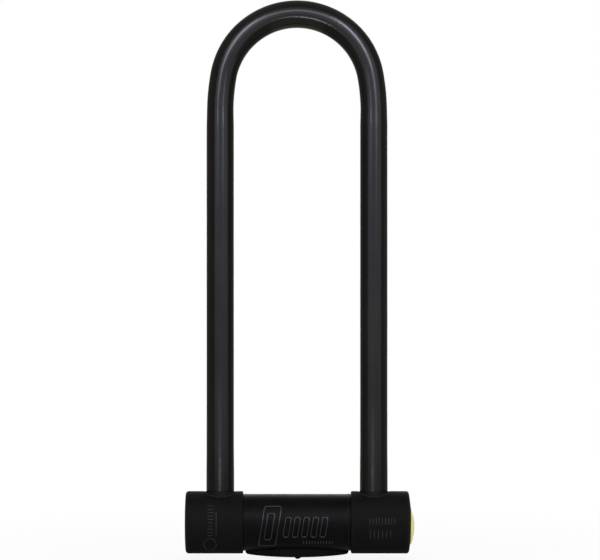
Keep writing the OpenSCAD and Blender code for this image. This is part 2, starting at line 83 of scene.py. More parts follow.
class NodeWeb:
    """Adds nodes to one tree and links them."""

    def __init__(self, tree: NodeTree) -> None:
        """Keeps the tree that the nodes go into."""
        self.tree = tree

    def add(self, kind: str, inputs: Optional[Feeds] = None, **settings: object) -> bpy.types.Node:
        """Adds one node.

        Args:
            kind: The node's type, as Blender names it.
            inputs: What goes into its inputs, by name or number.
            settings: Properties of the node and their values.

        Returns:
            The new node.
        """
        node = self.tree.nodes.new(kind)
        for name, value in settings.items():
            setattr(node, name, value)
        self.fill(node, inputs or {})
        return node

    def fill(self, node: bpy.types.Node, inputs: Feeds) -> None:
        """Feeds a node's inputs, which are given by name or number."""
        for key, value in inputs.items():
            self.feed(node.inputs[key], value)

    def feed(self, socket: NodeSocket, value: Feed) -> None:
        """Links an output to the socket, or sets the socket's own value.

        Args:
            socket: The input.
            value: The output or the value.
        """
        if isinstance(value, NodeSocket):
            self.tree.links.new(value, socket)
        else:
            socket.default_value = value

    def math(self, operation: str, *values: Number) -> NodeSocket:
        """Adds a Math node, whose values go into its inputs in order, and returns its result."""
        return self.add("ShaderNodeMath", dict(enumerate(values)), operation=operation).outputs[0]

    def vector(self, operation: str, *values: Union[Sequence[float], NodeSocket]) -> NodeSocket:
        """Adds a Vector Math node, with its inputs in order, and returns its vector."""
        node = self.add("ShaderNodeVectorMath", dict(enumerate(values)), operation=operation)
        return node.outputs[0]

    def length(self, vector: NodeSocket) -> NodeSocket:
        """Adds a Vector Math node that measures a vector, and returns the length."""
        return self.add("ShaderNodeVectorMath", {0: vector}, operation="LENGTH").outputs["Value"]

    def split(self, vector: NodeSocket) -> bpy.types.NodeOutputs:
        """Adds a node that splits a vector, and returns its outputs X, Y and Z."""
        return self.add("ShaderNodeSeparateXYZ", {0: vector}).outputs

    def join(self, **axes: Number) -> NodeSocket:
        """Adds a node that joins X, Y and Z into a vector, and returns the vector."""
        return self.add("ShaderNodeCombineXYZ", axes).outputs[0]

    def spread(
        self,
        value: NodeSocket,
        source: tuple[Number, Number],
        target: tuple[Number, Number] = (0.0, 1.0),
        smooth: bool = False,
    ) -> NodeSocket:
        """Maps a value from one range to another and clamps it.

        Args:
            value: The output to map.
            source: Lowest and highest value that is told apart.
            target: What those two become.
            smooth: Whether the change eases in and out.

        Returns:
            The mapped value's socket.
        """
        kind = "SMOOTHSTEP" if smooth else "LINEAR"
        ends = dict(enumerate((value, *source, *target)))
        return self.add("ShaderNodeMapRange", ends, interpolation_type=kind).outputs[0]

    def noise(
        self, vector: NodeSocket, scale: Number, detail: float = 2.0, roughness: float = 0.5
    ) -> NodeSocket:
        """Adds a Noise Texture with so many waves per metre, and returns its value."""
        inputs = {"Vector": vector, "Scale": scale, "Detail": detail, "Roughness": roughness}
        return self.add("ShaderNodeTexNoise", inputs).outputs[0]

    def cells(self, vector: NodeSocket, scale: Number, feature: str) -> NodeSocket:
        """Adds a Voronoi Texture that reads its cells at a vector, and returns the distance."""
        inputs = {"Vector": vector, "Scale": scale}
        return self.add("ShaderNodeTexVoronoi", inputs, feature=feature).outputs[0]

    def mix_colour(
        self, factor: NodeSocket, a: Union[Colour, NodeSocket], b: Union[Colour, NodeSocket]
    ) -> NodeSocket:
        """Mixes two colours, which are given as colours or as outputs.

        Args:
            factor: How much of the second colour there is.
            a: The first colour.
            b: The second colour.

        Returns:
            The mixed colour's socket.
        """
        node = self.add("ShaderNodeMix", {0: factor}, data_type="RGBA")
        ends = [s for s in node.inputs if s.type == "RGBA"]
        for socket, value in zip(ends, (a, b)):
            self.feed(socket, value if isinstance(value, NodeSocket) else (*value, 1.0))
        return next(s for s in node.outputs if s.type == "RGBA")


@dataclass(frozen=True)
class Socket:
    """A named input or output of a node group."""

    name: str
    kind: str
    value: Optional[SocketValue] = None


def open_group(
    name: str, kind: str, inputs: Sequence[Socket], outputs: Sequence[Socket]
) -> tuple[NodeWeb, dict[str, NodeSocket], dict[str, NodeSocket]]:
    """Makes an empty node group with its sockets.

    Args:
        name: The group's name.
        kind: ShaderNodeTree or GeometryNodeTree.
        inputs: The group's inputs.
        outputs: The group's outputs.

    Returns:
        The web of its nodes, and the inner sockets of its inputs and its outputs by name.
    """
    tree = bpy.data.node_groups.new(name, kind)
    for direction, sockets in (("INPUT", inputs), ("OUTPUT", outputs)):
        for item in sockets:
            made = tree.interface.new_socket(item.name, in_out=direction, socket_type=item.kind)
            if item.value is not None:
                made.default_value = item.value
    web = NodeWeb(tree)
    entry = {s.name: s for s in web.add("NodeGroupInput").outputs if s.name}
    leave = {s.name: s for s in web.add("NodeGroupOutput").inputs if s.name}
    return web, entry, leave


def open_material(name: str) -> tuple[Material, NodeWeb, bpy.types.Node]:
    """Makes a material with nodes.

    Args:
        name: The material's name.

    Returns:
        The material, the web of its nodes and its shader.
    """
    made = bpy.data.materials.new(name)
    made.use_nodes = True
    return made, NodeWeb(made.node_tree), made.node_tree.nodes["Principled BSDF"]


def linked(name: str, data: bpy.types.ID) -> SceneObject:
    """Makes an object and puts it into the scene.

    Args:
        name: The object's name.
        data: Its mesh, lamp or camera.

    Returns:
        The object.
    """
    made = bpy.data.objects.new(name, data)
    bpy.context.scene.collection.objects.link(made)
    return made


# Shader groups that several finishes share


class Grain(Enum):
    """The kinds of surface texture on the lock's parts."""

    MOULDED = "Moulded grain"
    EXTRUDED = "Extruded skin"
    CAST = "Cast skin"
    DRAWN = "Drawn lines"


@dataclass(frozen=True)
class Layer:
    """One layer of noise in a grain: its scale and its height are shares of the grain's."""

    scale: float
    height: float
    detail: float
    roughness: float = 0.5

    def add(self, web: NodeWeb, place: NodeSocket, scale: NodeSocket) -> NodeSocket:
        """Adds the layer.

        Args:
            web: The nodes of the grain's group.
            place: Where the noise is read.
            scale: The grain's own scale.

        Returns:
            The layer's height.
        """
        size = web.math("MULTIPLY", scale, self.scale)
        noise = web.noise(place, size, self.detail, self.roughness)
        return web.math("MULTIPLY", noise, self.height)


class GrainLibrary:
    """Builds each grain group once. It puts out a height, a roughness and a mask of blotches."""

    FLOAT = "NodeSocketFloat"
    BLOTCH = Layer(0.16 / 6, 1.0, 3.0)
    BLOTCH_ENDS = (0.32, 0.68)
    GRAIN_SHARE = 0.45
    ROUGHNESS_ENDS = (0.15, 0.85)
    MOULD_PITS = 0.6
    MOULD_NOISE = Layer(1.7, 0.5, 3.0)
    SKIN_LINES = Layer(1.0, 0.3, 3.0)
    SKIN_SWELL = Layer(0.12, 0.5, 1.0)
    SKIN_NOISE = Layer(2.2, 0.2, 2.0)
    CAST_MOTTLE = Layer(0.4, 1.0, 4.0, 0.6)
    CAST_PIT_REACH = 0.22
    CAST_PITS = 0.5
    DRAWN_LINES = Layer(1.0, 0.75, 4.0, 0.65)
    DRAWN_NOISE = Layer(0.5, 0.25, 2.0)

    def __init__(self) -> None:
        """Starts with no group made."""
        self.made: dict[Grain, NodeTree] = {}

    def tree(self, grain: Grain) -> NodeTree:
        """Gives the group for one kind of grain, made at its first use.

        Args:
            grain: The kind of grain.

        Returns:
            The group's tree.
        """
        if grain not in self.made:
            self.made[grain] = self.build(grain)
        return self.made[grain]

    def build(self, grain: Grain) -> NodeTree:
        """Makes one grain group.

        Args:
            grain: The kind of grain.

        Returns:
            The new group's tree.
        """
        web, entry, leave = open_group(
            grain.value,
            "ShaderNodeTree",
            [
                Socket("Scale", self.FLOAT, 2000.0),
                Socket("Smooth", self.FLOAT, 0.4),
                Socket("Rough", self.FLOAT, 0.6),
                Socket("Stretch", "NodeSocketVector"),
            ],
            [Socket(name, self.FLOAT) for name in ("Height", "Roughness", "Blotch")],
        )
        place = web.add("ShaderNodeTexCoord").outputs["Object"]
        scale = entry["Scale"]
        blotch = web.spread(self.BLOTCH.add(web, place, scale), self.BLOTCH_ENDS, smooth=True)
        if grain is Grain.MOULDED:
            height = self.moulded(web, place, scale)
        elif grain is Grain.CAST:
            height = self.cast(web, place, scale)
        else:
            drawn_out = web.vector("MULTIPLY", place, entry["Stretch"])
            maker = self.extruded if grain is Grain.EXTRUDED else self.drawn
            height = maker(web, place, drawn_out, scale)
        fine = web.math("MULTIPLY", height, self.GRAIN_SHARE)
        mixed = web.math("ADD", fine, web.math("MULTIPLY", blotch, 1 - self.GRAIN_SHARE))
        web.feed(leave["Height"], height)
        rough = web.spread(mixed, self.ROUGHNESS_ENDS, (entry["Smooth"], entry["Rough"]))
        web.feed(leave["Roughness"], rough)
        web.feed(leave["Blotch"], blotch)
        return web.tree

    def moulded(self, web: NodeWeb, place: NodeSocket, scale: NodeSocket) -> NodeSocket:
        """Adds a mould's texture, rounded pits between fine noise, and returns its height."""
        pits = web.math("MULTIPLY", web.cells(place, scale, "SMOOTH_F1"), self.MOULD_PITS)
        return web.math("ADD", pits, self.MOULD_NOISE.add(web, place, scale))

    def extruded(
        self, web: NodeWeb, place: NodeSocket, drawn_out: NodeSocket, scale: NodeSocket
    ) -> NodeSocket:
        """Adds a pulled vinyl skin: slow swells, faint lines along the pull and a fine noise.

        Args:
            web: The nodes of the group.
            place: Where the even layers are read.
            drawn_out: Where the lines are read.
            scale: The grain's scale.

        Returns:
            The height.
        """
        lines = self.SKIN_LINES.add(web, drawn_out, scale)
        soft = web.math("ADD", lines, self.SKIN_SWELL.add(web, place, scale))
        return web.math("ADD", soft, self.SKIN_NOISE.add(web, place, scale))

    def cast(self, web: NodeWeb, place: NodeSocket, scale: NodeSocket) -> NodeSocket:
        """Adds an as-cast metal skin: mottled, with small sharp pits.

        Args:
            web: The nodes of the group.
            place: Where the skin is read.
            scale: The grain's scale.

        Returns:
            The height.
        """
        mottle = self.CAST_MOTTLE.add(web, place, scale)
        holes = web.spread(web.cells(place, scale, "F1"), (0.0, self.CAST_PIT_REACH), smooth=True)
        depth = web.math("ADD", web.math("MULTIPLY", holes, self.CAST_PITS), 1 - self.CAST_PITS)
        return web.math("MULTIPLY", mottle, depth)

    def drawn(
        self, web: NodeWeb, place: NodeSocket, drawn_out: NodeSocket, scale: NodeSocket
    ) -> NodeSocket:
        """Adds drawn metal's lines, longest where the stretch is least, and returns the height."""
        lines = self.DRAWN_LINES.add(web, drawn_out, scale)
        return web.math("ADD", lines, self.DRAWN_NOISE.add(web, place, scale))


class WearLibrary:
    """Builds the group that fades, scuffs, rubs and dusts a colour."""

    NAME = "Wear and dust"
    SCUFF_SCALE = 90.0
    SCUFF_STRETCH = (1.0, 1.0, 0.22)
    SCUFF_WIDTH = 0.012
    SCUFF_PATCHES = (0.55, 0.72)
    RUB_SCALE = 720.0
    RUB_ENDS = (0.4, 0.75)
    RUB_LEAST = 0.35
    DUST_SCALE = 260.0
    DUST_ENDS = (0.45, 0.8)
    SETTLE_ENDS = (-0.4, 1.0)
    SETTLE_LEAST = 0.15

    def __init__(self) -> None:
        """Starts with no group made."""
        self.made: Optional[NodeTree] = None

    def tree(self) -> NodeTree:
        """Gives the group, made at its first use.

        Returns:
            The group's tree.
        """
        if self.made is None:
            self.made = self.build()
        return self.made

    def build(self) -> NodeTree:
        """Makes the group, which puts out a colour and a mask of where the surface is worn.

        Returns:
            The new group's tree.
        """
        colour, number = "NodeSocketColor", "NodeSocketFloat"
        web, entry, leave = open_group(
            self.NAME,
            "ShaderNodeTree",
            [
                *(Socket(name, colour) for name in ("Colour", "Faded", "Worn", "Dust")),
                Socket("Blotch", number),
                Socket("Edge", number),
                Socket("Scuffs", number, 0.2),
                Socket("Dusting", number, 0.1),
            ],
            [Socket("Colour", colour), Socket("Mask", number)],
        )
        place = web.add("ShaderNodeTexCoord").outputs["Object"]
        faded = web.mix_colour(entry["Blotch"], entry["Colour"], entry["Faded"])
        bent = web.vector("MULTIPLY", place, self.SCUFF_STRETCH)
        scratches = web.cells(bent, self.SCUFF_SCALE, "DISTANCE_TO_EDGE")
        thin = web.spread(scratches, (0.0, self.SCUFF_WIDTH), (1.0, 0.0))
        patchy = web.spread(web.noise(place, self.SCUFF_SCALE, 3.0, 0.6), self.SCUFF_PATCHES)
        scuff = web.math("MULTIPLY", web.math("MULTIPLY", thin, patchy), entry["Scuffs"])
        rubbed = web.noise(place, self.RUB_SCALE, 3.0, 0.7)
        rubbed = web.spread(rubbed, self.RUB_ENDS, (self.RUB_LEAST, 1.0))
        mask = web.math("MAXIMUM", web.math("MULTIPLY", entry["Edge"], rubbed), scuff)
        worn = web.mix_colour(mask, faded, entry["Worn"])
        upward = web.split(web.add("ShaderNodeNewGeometry").outputs["Normal"])["Z"]
        specks = web.spread(web.noise(place, self.DUST_SCALE, 6.0, 0.75), self.DUST_ENDS)
        settled = web.spread(upward, self.SETTLE_ENDS, (self.SETTLE_LEAST, 1.0), smooth=True)
        dusty = web.math("MULTIPLY", web.math("MULTIPLY", specks, settled), entry["Dusting"])
        web.feed(leave["Colour"], web.mix_colour(dusty, worn, entry["Dust"]))
        web.feed(leave["Mask"], mask)
        return web.tree


GRAINS = GrainLibrary()
WEAR = WearLibrary()


@dataclass(frozen=True)
class Finish:
    """One finish of the lock: its colours, gloss, grain and wear."""

    name: str
    colour: Colour
    faded: Colour
    worn: Colour
    smooth: float
    rough: float
    grain: Grain
    grain_scale: float
    grain_depth: float
    stretch: Point = (1.0, 1.0, 1.0)
    dust: Colour = (0.16, 0.15, 0.135)
    scuffs: float = 0.2
    dusting: float = 0.03
    metallic: float = 0.0
    specular: float = 0.5
    anisotropic: float = 0.0

    def material(self) -> Material:
        """The Blender material of this finish, made at its first use."""
        return bpy.data.materials.get(self.name) or self.build()

    def build(self) -> Material:
        """Makes the material.

        Returns:
            The material, with its grain and wear groups.
        """
        made, web, shader = open_material(self.name)
        texture = web.add(
            "ShaderNodeGroup",
            {
                "Scale": self.grain_scale,
                "Smooth": self.smooth,
                "Rough": self.rough,
                "Stretch": self.stretch,
            },
            node_tree=GRAINS.tree(self.grain),
        ).outputs
        edge = web.add("ShaderNodeAttribute", attribute_name=EDGE_ATTRIBUTE)
        wear = web.add(
            "ShaderNodeGroup",
            {
                "Colour": (*self.colour, 1.0),
                "Faded": (*self.faded, 1.0),
                "Worn": (*self.worn, 1.0),
                "Dust": (*self.dust, 1.0),
                "Scuffs": self.scuffs,
                "Dusting": self.dusting,
                "Blotch": texture["Blotch"],
                "Edge": edge.outputs["Fac"],
            },
            node_tree=WEAR.tree(),
        )
        relief = {"Strength": 1.0, "Distance": self.grain_depth, "Height": texture["Height"]}
        web.fill(
            shader,
            {
                "Base Color": wear.outputs["Colour"],
                "Roughness": texture["Roughness"],
                "Normal": web.add("ShaderNodeBump", relief).outputs["Normal"],
                "Metallic": self.metallic,
                "Specular IOR Level": self.specular,
                "Anisotropic": self.anisotropic,
            },
        )
        return made


VINYL = Finish(
    "black_vinyl",
    colour=(0.0048, 0.0046, 0.0042),
    faded=(0.0064, 0.0062, 0.0057),
    worn=(0.03, 0.029, 0.028),
    smooth=0.12,
    rough=0.23,
    grain=Grain.EXTRUDED,
    grain_scale=700.0,
    grain_depth=0.01 * MM,
    stretch=(1.0, 1.0, 0.06),
    scuffs=0.16,
    dusting=0.01,
    specular=0.28,
)
SEAL = Finish(
    "black_seal_rubber",
    colour=(0.0082, 0.0082, 0.0078),
    faded=(0.0105, 0.0104, 0.0096),
    worn=(0.015, 0.0148, 0.0138),
    smooth=0.5,
    rough=0.72,
    grain=Grain.MOULDED,
    grain_scale=2600.0,
    grain_depth=0.02 * MM,
    dusting=0.004,
    specular=0.03,
)
COLLAR = Finish(
    "black_collar_plastic",
    colour=(0.0066, 0.0066, 0.0067),
    faded=(0.008, 0.008, 0.0081),
    worn=(0.06, 0.06, 0.06),
    smooth=0.5,
    rough=0.66,
    grain=Grain.MOULDED,
    grain_scale=2800.0,
    grain_depth=0.022 * MM,
    scuffs=0.05,
    dusting=0.006,
    specular=0.014,
)
SLEEVE = Finish(
    "black_sleeve_plastic",
    colour=(0.0036, 0.0036, 0.0037),
    faded=(0.0045, 0.0045, 0.0045),
    worn=(0.018, 0.018, 0.018),
    smooth=0.34,
    rough=0.46,
    grain=Grain.MOULDED,
    grain_scale=3200.0,
    grain_depth=0.012 * MM,
    scuffs=0.1,
    dusting=0.004,
    specular=0.034,
)
BEZEL = Finish(
    "black_bezel_plastic",
    colour=(0.0022, 0.0022, 0.0023),
    faded=(0.0032, 0.0032, 0.0032),
    worn=(0.02, 0.02, 0.02),
    smooth=0.36,
    rough=0.52,
    grain=Grain.MOULDED,
    grain_scale=3000.0,
    grain_depth=0.014 * MM,
    scuffs=0.12,
    dusting=0.006,
    specular=0.04,
)
RELIEF = Finish(
    "raised_black_plastic",
    colour=(0.009, 0.009, 0.0093),
    faded=(0.014, 0.014, 0.0143),
    worn=(0.05, 0.05, 0.05),
    smooth=0.24,
    rough=0.38,
    grain=Grain.MOULDED,
    grain_scale=3000.0,
    grain_depth=0.006 * MM,
    scuffs=0.1,
    dusting=0.01,
    specular=0.4,
)
PRINT = Finish(
    "grey_marking",
    colour=(0.025, 0.025, 0.025),
    faded=(0.022, 0.022, 0.022),
    worn=(0.012, 0.012, 0.012),
    smooth=0.4,
    rough=0.6,
    grain=Grain.MOULDED,
    grain_scale=2600.0,
    grain_depth=0.01 * MM,
    scuffs=0.3,
    dusting=0.01,
    specular=0.2,
)
CAP = Finish(
    "pale_yellow_plastic",
    colour=(0.92, 0.84, 0.29),
    faded=(0.88, 0.8, 0.27),
    worn=(0.92, 0.88, 0.6),
    smooth=0.28,
    rough=0.42,
    grain=Grain.MOULDED,
    grain_scale=2200.0,
    grain_depth=0.008 * MM,
    dust=(0.3, 0.27, 0.2),
    scuffs=0.25,
    dusting=0.03,
    specular=0.4,
)
HARDENED_STEEL = Finish(
    "dull_hardened_steel",
    colour=(0.2, 0.203, 0.21),
    faded=(0.13, 0.131, 0.136),
    worn=(0.42, 0.42, 0.42),
    smooth=0.26,
    rough=0.44,
    grain=Grain.DRAWN,
    grain_scale=2400.0,
    grain_depth=0.012 * MM,
    stretch=(1.0, 1.0, 0.05),
    scuffs=0.5,
    metallic=1.0,
    anisotropic=0.3,
)
TUBE_STEEL = Finish(
    "drawn_tube_steel",
    colour=(0.34, 0.342, 0.35),
    faded=(0.24, 0.241, 0.248),
    worn=(0.5, 0.5, 0.5),
    smooth=0.28,
    rough=0.46,
    grain=Grain.DRAWN,
    grain_scale=2000.0,
    grain_depth=0.014 * MM,
    stretch=(0.05, 1.0, 1.0),
    scuffs=0.4,
    metallic=1.0,
    anisotropic=0.3,
)
BRIGHT_STEEL = Finish(
    "bright_steel",
    colour=(0.55, 0.555, 0.565),
    faded=(0.43, 0.432, 0.44),
    worn=(0.7, 0.7, 0.7),
    smooth=0.16,
    rough=0.32,
    grain=Grain.DRAWN,
    grain_scale=3600.0,
    grain_depth=0.006 * MM,
    stretch=(1.0, 0.06, 1.0),
    scuffs=0.3,
    metallic=1.0,
)
GROUND_STEEL = Finish(
    "ground_bolt_steel",
    colour=(0.6, 0.605, 0.615),
    faded=(0.5, 0.502, 0.51),
    worn=(0.74, 0.74, 0.74),
    smooth=0.14,
    rough=0.3,
    grain=Grain.DRAWN,
    grain_scale=3200.0,
    grain_depth=0.007 * MM,
    stretch=(1.0, 0.08, 0.08),
    scuffs=0.35,
    metallic=1.0,
    anisotropic=0.25,
)
ZINC = Finish(
    "grey_cast_zinc",
    colour=(0.36, 0.365, 0.375),
    faded=(0.27, 0.272, 0.28),
    worn=(0.55, 0.55, 0.56),
    smooth=0.4,
    rough=0.62,
    grain=Grain.CAST,
    grain_scale=900.0,
    grain_depth=0.06 * MM,
    scuffs=0.4,
    metallic=1.0,
)
BRASS = Finish(
    "machined_brass",
    colour=(0.62, 0.44, 0.17),
    faded=(0.48, 0.32, 0.12),
    worn=(0.78, 0.62, 0.32),
    smooth=0.2,
    rough=0.36,
    grain=Grain.DRAWN,
    grain_scale=3400.0,
    grain_depth=0.006 * MM,
    stretch=(1.0, 1.0, 0.1),
    scuffs=0.3,
    metallic=1.0,
)


# Geometry Nodes


class TreeTool:
    """A Geometry Nodes tree with named inputs, run once on a host mesh to make a plain mesh."""

    GEOMETRY = Socket("Geometry", "NodeSocketGeometry")
    FLOAT = "NodeSocketFloat"
    INT = "NodeSocketInt"
    VECTOR = "NodeSocketVector"

    @staticmethod
    def numbers(*names: str) -> list[Socket]:
        """Sockets for plain numbers."""
        return [Socket(name, TreeTool.FLOAT) for name in names]

    def __init__(self, name: str, inputs: Sequence[Socket]) -> None:
        """Opens the tree.

        Args:
            name: The tree's name.
            inputs: Its inputs after the geometry and before the material.
        """
        sockets = [self.GEOMETRY, *inputs, Socket("Material", "NodeSocketMaterial")]
        opened = open_group(name, "GeometryNodeTree", sockets, [self.GEOMETRY])
        self.web, self.entry, self.leave = opened

    def close(self, mesh: NodeSocket) -> None:
        """Ends the tree with smooth faces, Realize Instances and Set Material.

        Args:
            mesh: The mesh that the tree has made.
        """
        smooth = self.web.add("GeometryNodeSetShadeSmooth", {"Geometry": mesh}).outputs[0]
        real = self.web.add("GeometryNodeRealizeInstances", {"Geometry": smooth}).outputs[0]
        coat = {"Geometry": real, "Material": self.entry["Material"]}
        dressed = self.web.add("GeometryNodeSetMaterial", coat).outputs[0]
        self.web.feed(self.leave["Geometry"], dressed)

    def run(
        self, name: str, host: bpy.types.Mesh, values: dict[str, SocketValue], finish: Finish
    ) -> SceneObject:
        """Runs the tree on a mesh.

        Args:
            name: Name of the piece that is made.
            host: The mesh that goes into the tree.
            values: The tree's inputs by name.
            finish: The finish that Set Material gives.

        Returns:
            The piece, a plain mesh at the origin.
        """
        holder = linked(name + "_host", host)
        modifier = holder.modifiers.new("tree", "NODES")
        modifier.node_group = self.web.tree
        identifiers = {
            item.name: item.identifier
            for item in self.web.tree.interface.items_tree
            if item.item_type == "SOCKET" and item.in_out == "INPUT"
        }
        for key, value in {**values, "Material": finish.material()}.items():
            modifier[identifiers[key]] = value
        graph = bpy.context.evaluated_depsgraph_get()
        mesh = bpy.data.meshes.new_from_object(holder.evaluated_get(graph), depsgraph=graph)
        bpy.data.objects.remove(holder)
        piece = linked(name, mesh)
        mesh.name = name
        point_outwards(piece)
        return piece


def point_outwards(piece: SceneObject) -> None:
    """Merges doubled vertices of a piece and makes its faces point outwards.

    Args:
        piece: The piece, whose mesh changes.
    """
    work = bmesh.new()
    work.from_mesh(piece.data)
    bmesh.ops.remove_doubles(work, verts=work.verts, dist=DOUBLES)
    bmesh.ops.recalc_face_normals(work, faces=work.faces)
    work.to_mesh(piece.data)
    work.free()
    piece.data.update()


def polyline_mesh(name: str, lines: Sequence[tuple[Sequence[Point], bool]]) -> bpy.types.Mesh:
    """A mesh of edges only, which a tree reads as curves.

    Args:
        name: The mesh's name.
        lines: Points of each line, and whether the line is closed.

    Returns:
        The mesh.
    """
    points: list[Point] = []
    edges: list[tuple[int, int]] = []
    for line, closed in lines:
        first = len(points)
        points.extend(line)
        edges.extend((i, i + 1) for i in range(first, len(points) - 1))
        if closed:
            edges.append((len(points) - 1, first))
    mesh = bpy.data.meshes.new(name)
    mesh.from_pydata([tuple(p) for p in points], edges, [])
    return mesh


def sleeve_tree() -> TreeTool:
    """Builds the tree that draws the vinyl sleeve as a closed wall along the bar's path.

    Returns:
        The tree, ready to run.
    """
    sizes = (
        *("Leg Spacing", "Leg Radius", "Bend Radius", "Crown Radius", "Crown Low", "Crown High"),
        *("Bore Radius", "Step Height", "Step Width", "End Height", "Lip Height", "Lip Fall"),
        *("Wave Depth", "Wave Scale"),
    )
    sockets = [*TreeTool.numbers(*sizes), Socket("Sides", TreeTool.INT)]
    tool = TreeTool("Sleeve on a bent bar", sockets)
    web, entry = tool.web, tool.entry
    path = web.add("GeometryNodeMeshToCurve", {"Mesh": entry["Geometry"]}).outputs[0]
    position = web.add("GeometryNodeInputPosition").outputs[0]
    parts = web.split(position)
    height = parts["Z"]
    low = web.math("SUBTRACT", entry["Step Height"], entry["Step Width"])
    high = web.math("ADD", entry["Step Height"], entry["Step Width"])
    radii = (entry["Leg Radius"], entry["Bend Radius"])
    radius = web.spread(height, (low, high), radii, smooth=True)
    bunched = web.math("SUBTRACT", entry["Crown Radius"], entry["Bend Radius"])
    reach = (entry["Crown Low"], entry["Crown High"])
    crown = web.spread(height, reach, (0.0, bunched), smooth=True)
    waves = web.noise(position, entry["Wave Scale"], 1.0)
    waves = web.math("MULTIPLY", web.math("SUBTRACT", waves, 0.5), entry["Wave Depth"])
    lip_top = web.math("ADD", entry["End Height"], entry["Lip Height"])
    lip = web.spread(height, (entry["End Height"], lip_top), (entry["Lip Fall"], 0.0), smooth=True)
    radius = web.math("ADD", web.math("ADD", radius, crown), web.math("SUBTRACT", waves, lip))
    circle = {"Resolution": entry["Sides"], "Radius": 1.0}
    profile = web.add("GeometryNodeCurvePrimitiveCircle", circle).outputs["Curve"]
    skins = []
    for scale in (radius, entry["Bore Radius"]):
        sweep = {"Curve": path, "Profile Curve": profile, "Scale": scale}
        skins.append(web.add("GeometryNodeCurveToMesh", sweep).outputs[0])
    inside = web.add("GeometryNodeFlipFaces", {"Mesh": skins[1]}).outputs[0]
    half_gap = web.math("MULTIPLY", entry["Leg Spacing"], 0.5)
    leg = web.math("MULTIPLY", web.math("SIGN", parts["X"]), half_gap)
    inward = web.vector("SUBTRACT", web.join(X=leg, Z=height), position)
    share = web.math("SUBTRACT", 1.0, web.math("DIVIDE", entry["Bore Radius"], web.length(inward)))
    ends = web.add("FunctionNodeCompare", data_type="INT", operation="EQUAL")
    whole = [s for s in ends.inputs if s.type == "INT"]
    web.feed(whole[0], web.add("GeometryNodeInputMeshEdgeNeighbors").outputs[0])
    web.feed(whole[1], 1)
    rim = {"Mesh": skins[0], "Selection": ends.outputs[0], "Offset": inward, "Offset Scale": share}
    both = web.add("GeometryNodeJoinGeometry")
    web.feed(both.inputs[0], web.add("GeometryNodeExtrudeMesh", rim, mode="EDGES").outputs["Mesh"])
    web.feed(both.inputs[0], inside)
    weld = {"Geometry": both.outputs[0], "Distance": WELD}
    tool.close(web.add("GeometryNodeMergeByDistance", weld).outputs[0])
    return tool


BEAD_SOCKETS = (
    *TreeTool.numbers("Drum Radius", "Bead Radius", "Bead Rise", "Step"),
    Socket("Sides", TreeTool.INT),
)


def bead_group() -> NodeTree:
    """Builds the group that lays curves of the XZ plane on the front of a drum along X, as beads.

    Returns:
        The group's tree.
    """
    mesh = TreeTool.GEOMETRY
    web, entry, leave = open_group(
        "Beads on a drum", "GeometryNodeTree", [mesh, *BEAD_SOCKETS], [mesh]
    )
    steps = {"Curve": entry["Geometry"], "Length": entry["Step"]}
    even = web.add("GeometryNodeResampleCurve", steps, mode="LENGTH").outputs[0]
    parts = web.split(web.add("GeometryNodeInputPosition").outputs[0])
    sunk = web.math("SUBTRACT", entry["Bead Rise"], entry["Bead Radius"])
    centre = web.math("ADD", entry["Drum Radius"], sunk)
    reach, rise = (web.math("POWER", value, 2.0) for value in (centre, parts["Z"]))
    square = web.math("SUBTRACT", reach, rise)
    depth = web.math("MULTIPLY", web.math("SQRT", web.math("MAXIMUM", square, 0.0)), -1.0)
    place = web.join(X=parts["X"], Y=depth, Z=parts["Z"])
    laid = web.add("GeometryNodeSetPosition", {"Geometry": even, "Position": place}).outputs[0]
    circle = {"Resolution": entry["Sides"], "Radius": entry["Bead Radius"]}
    profile = web.add("GeometryNodeCurvePrimitiveCircle", circle).outputs["Curve"]
    sweep = {"Curve": laid, "Profile Curve": profile, "Fill Caps": True}
    web.feed(leave["Geometry"], web.add("GeometryNodeCurveToMesh", sweep).outputs[0])
    return web.tree


def lay_beads(tool: TreeTool, beads: NodeTree, curves: NodeSocket) -> None:
    """Ends a tree by laying its curves on the drum as beads.

    Args:
        tool: The tree.
        beads: The group that lays curves as beads.
        curves: The curves, drawn in the XZ plane.
    """
    sizes = {item.name: tool.entry[item.name] for item in BEAD_SOCKETS}
    laid = tool.web.add("GeometryNodeGroup", {"Geometry": curves, **sizes}, node_tree=beads)
    tool.close(laid.outputs[0])


def outline_tree(beads: NodeTree) -> TreeTool:
    """Builds the tree that rounds the corners of drawn outlines and lays them on a drum.

    Args:
        beads: The group that lays curves as beads.

    Returns:
        The tree, ready to run.
    """
    tool = TreeTool("Raised outlines", [*BEAD_SOCKETS, *TreeTool.numbers("Corner Radius")])
    drawn = tool.web.add("GeometryNodeMeshToCurve", {"Mesh": tool.entry["Geometry"]})
    corner = {
        "Curve": drawn.outputs[0],
        "Count": CORNER_POINTS,
        "Limit Radius": True,
        "Radius": tool.entry["Corner Radius"],
    }
    lay_beads(tool, beads, tool.web.add("GeometryNodeFilletCurve", corner, mode="POLY").outputs[0])
    return tool


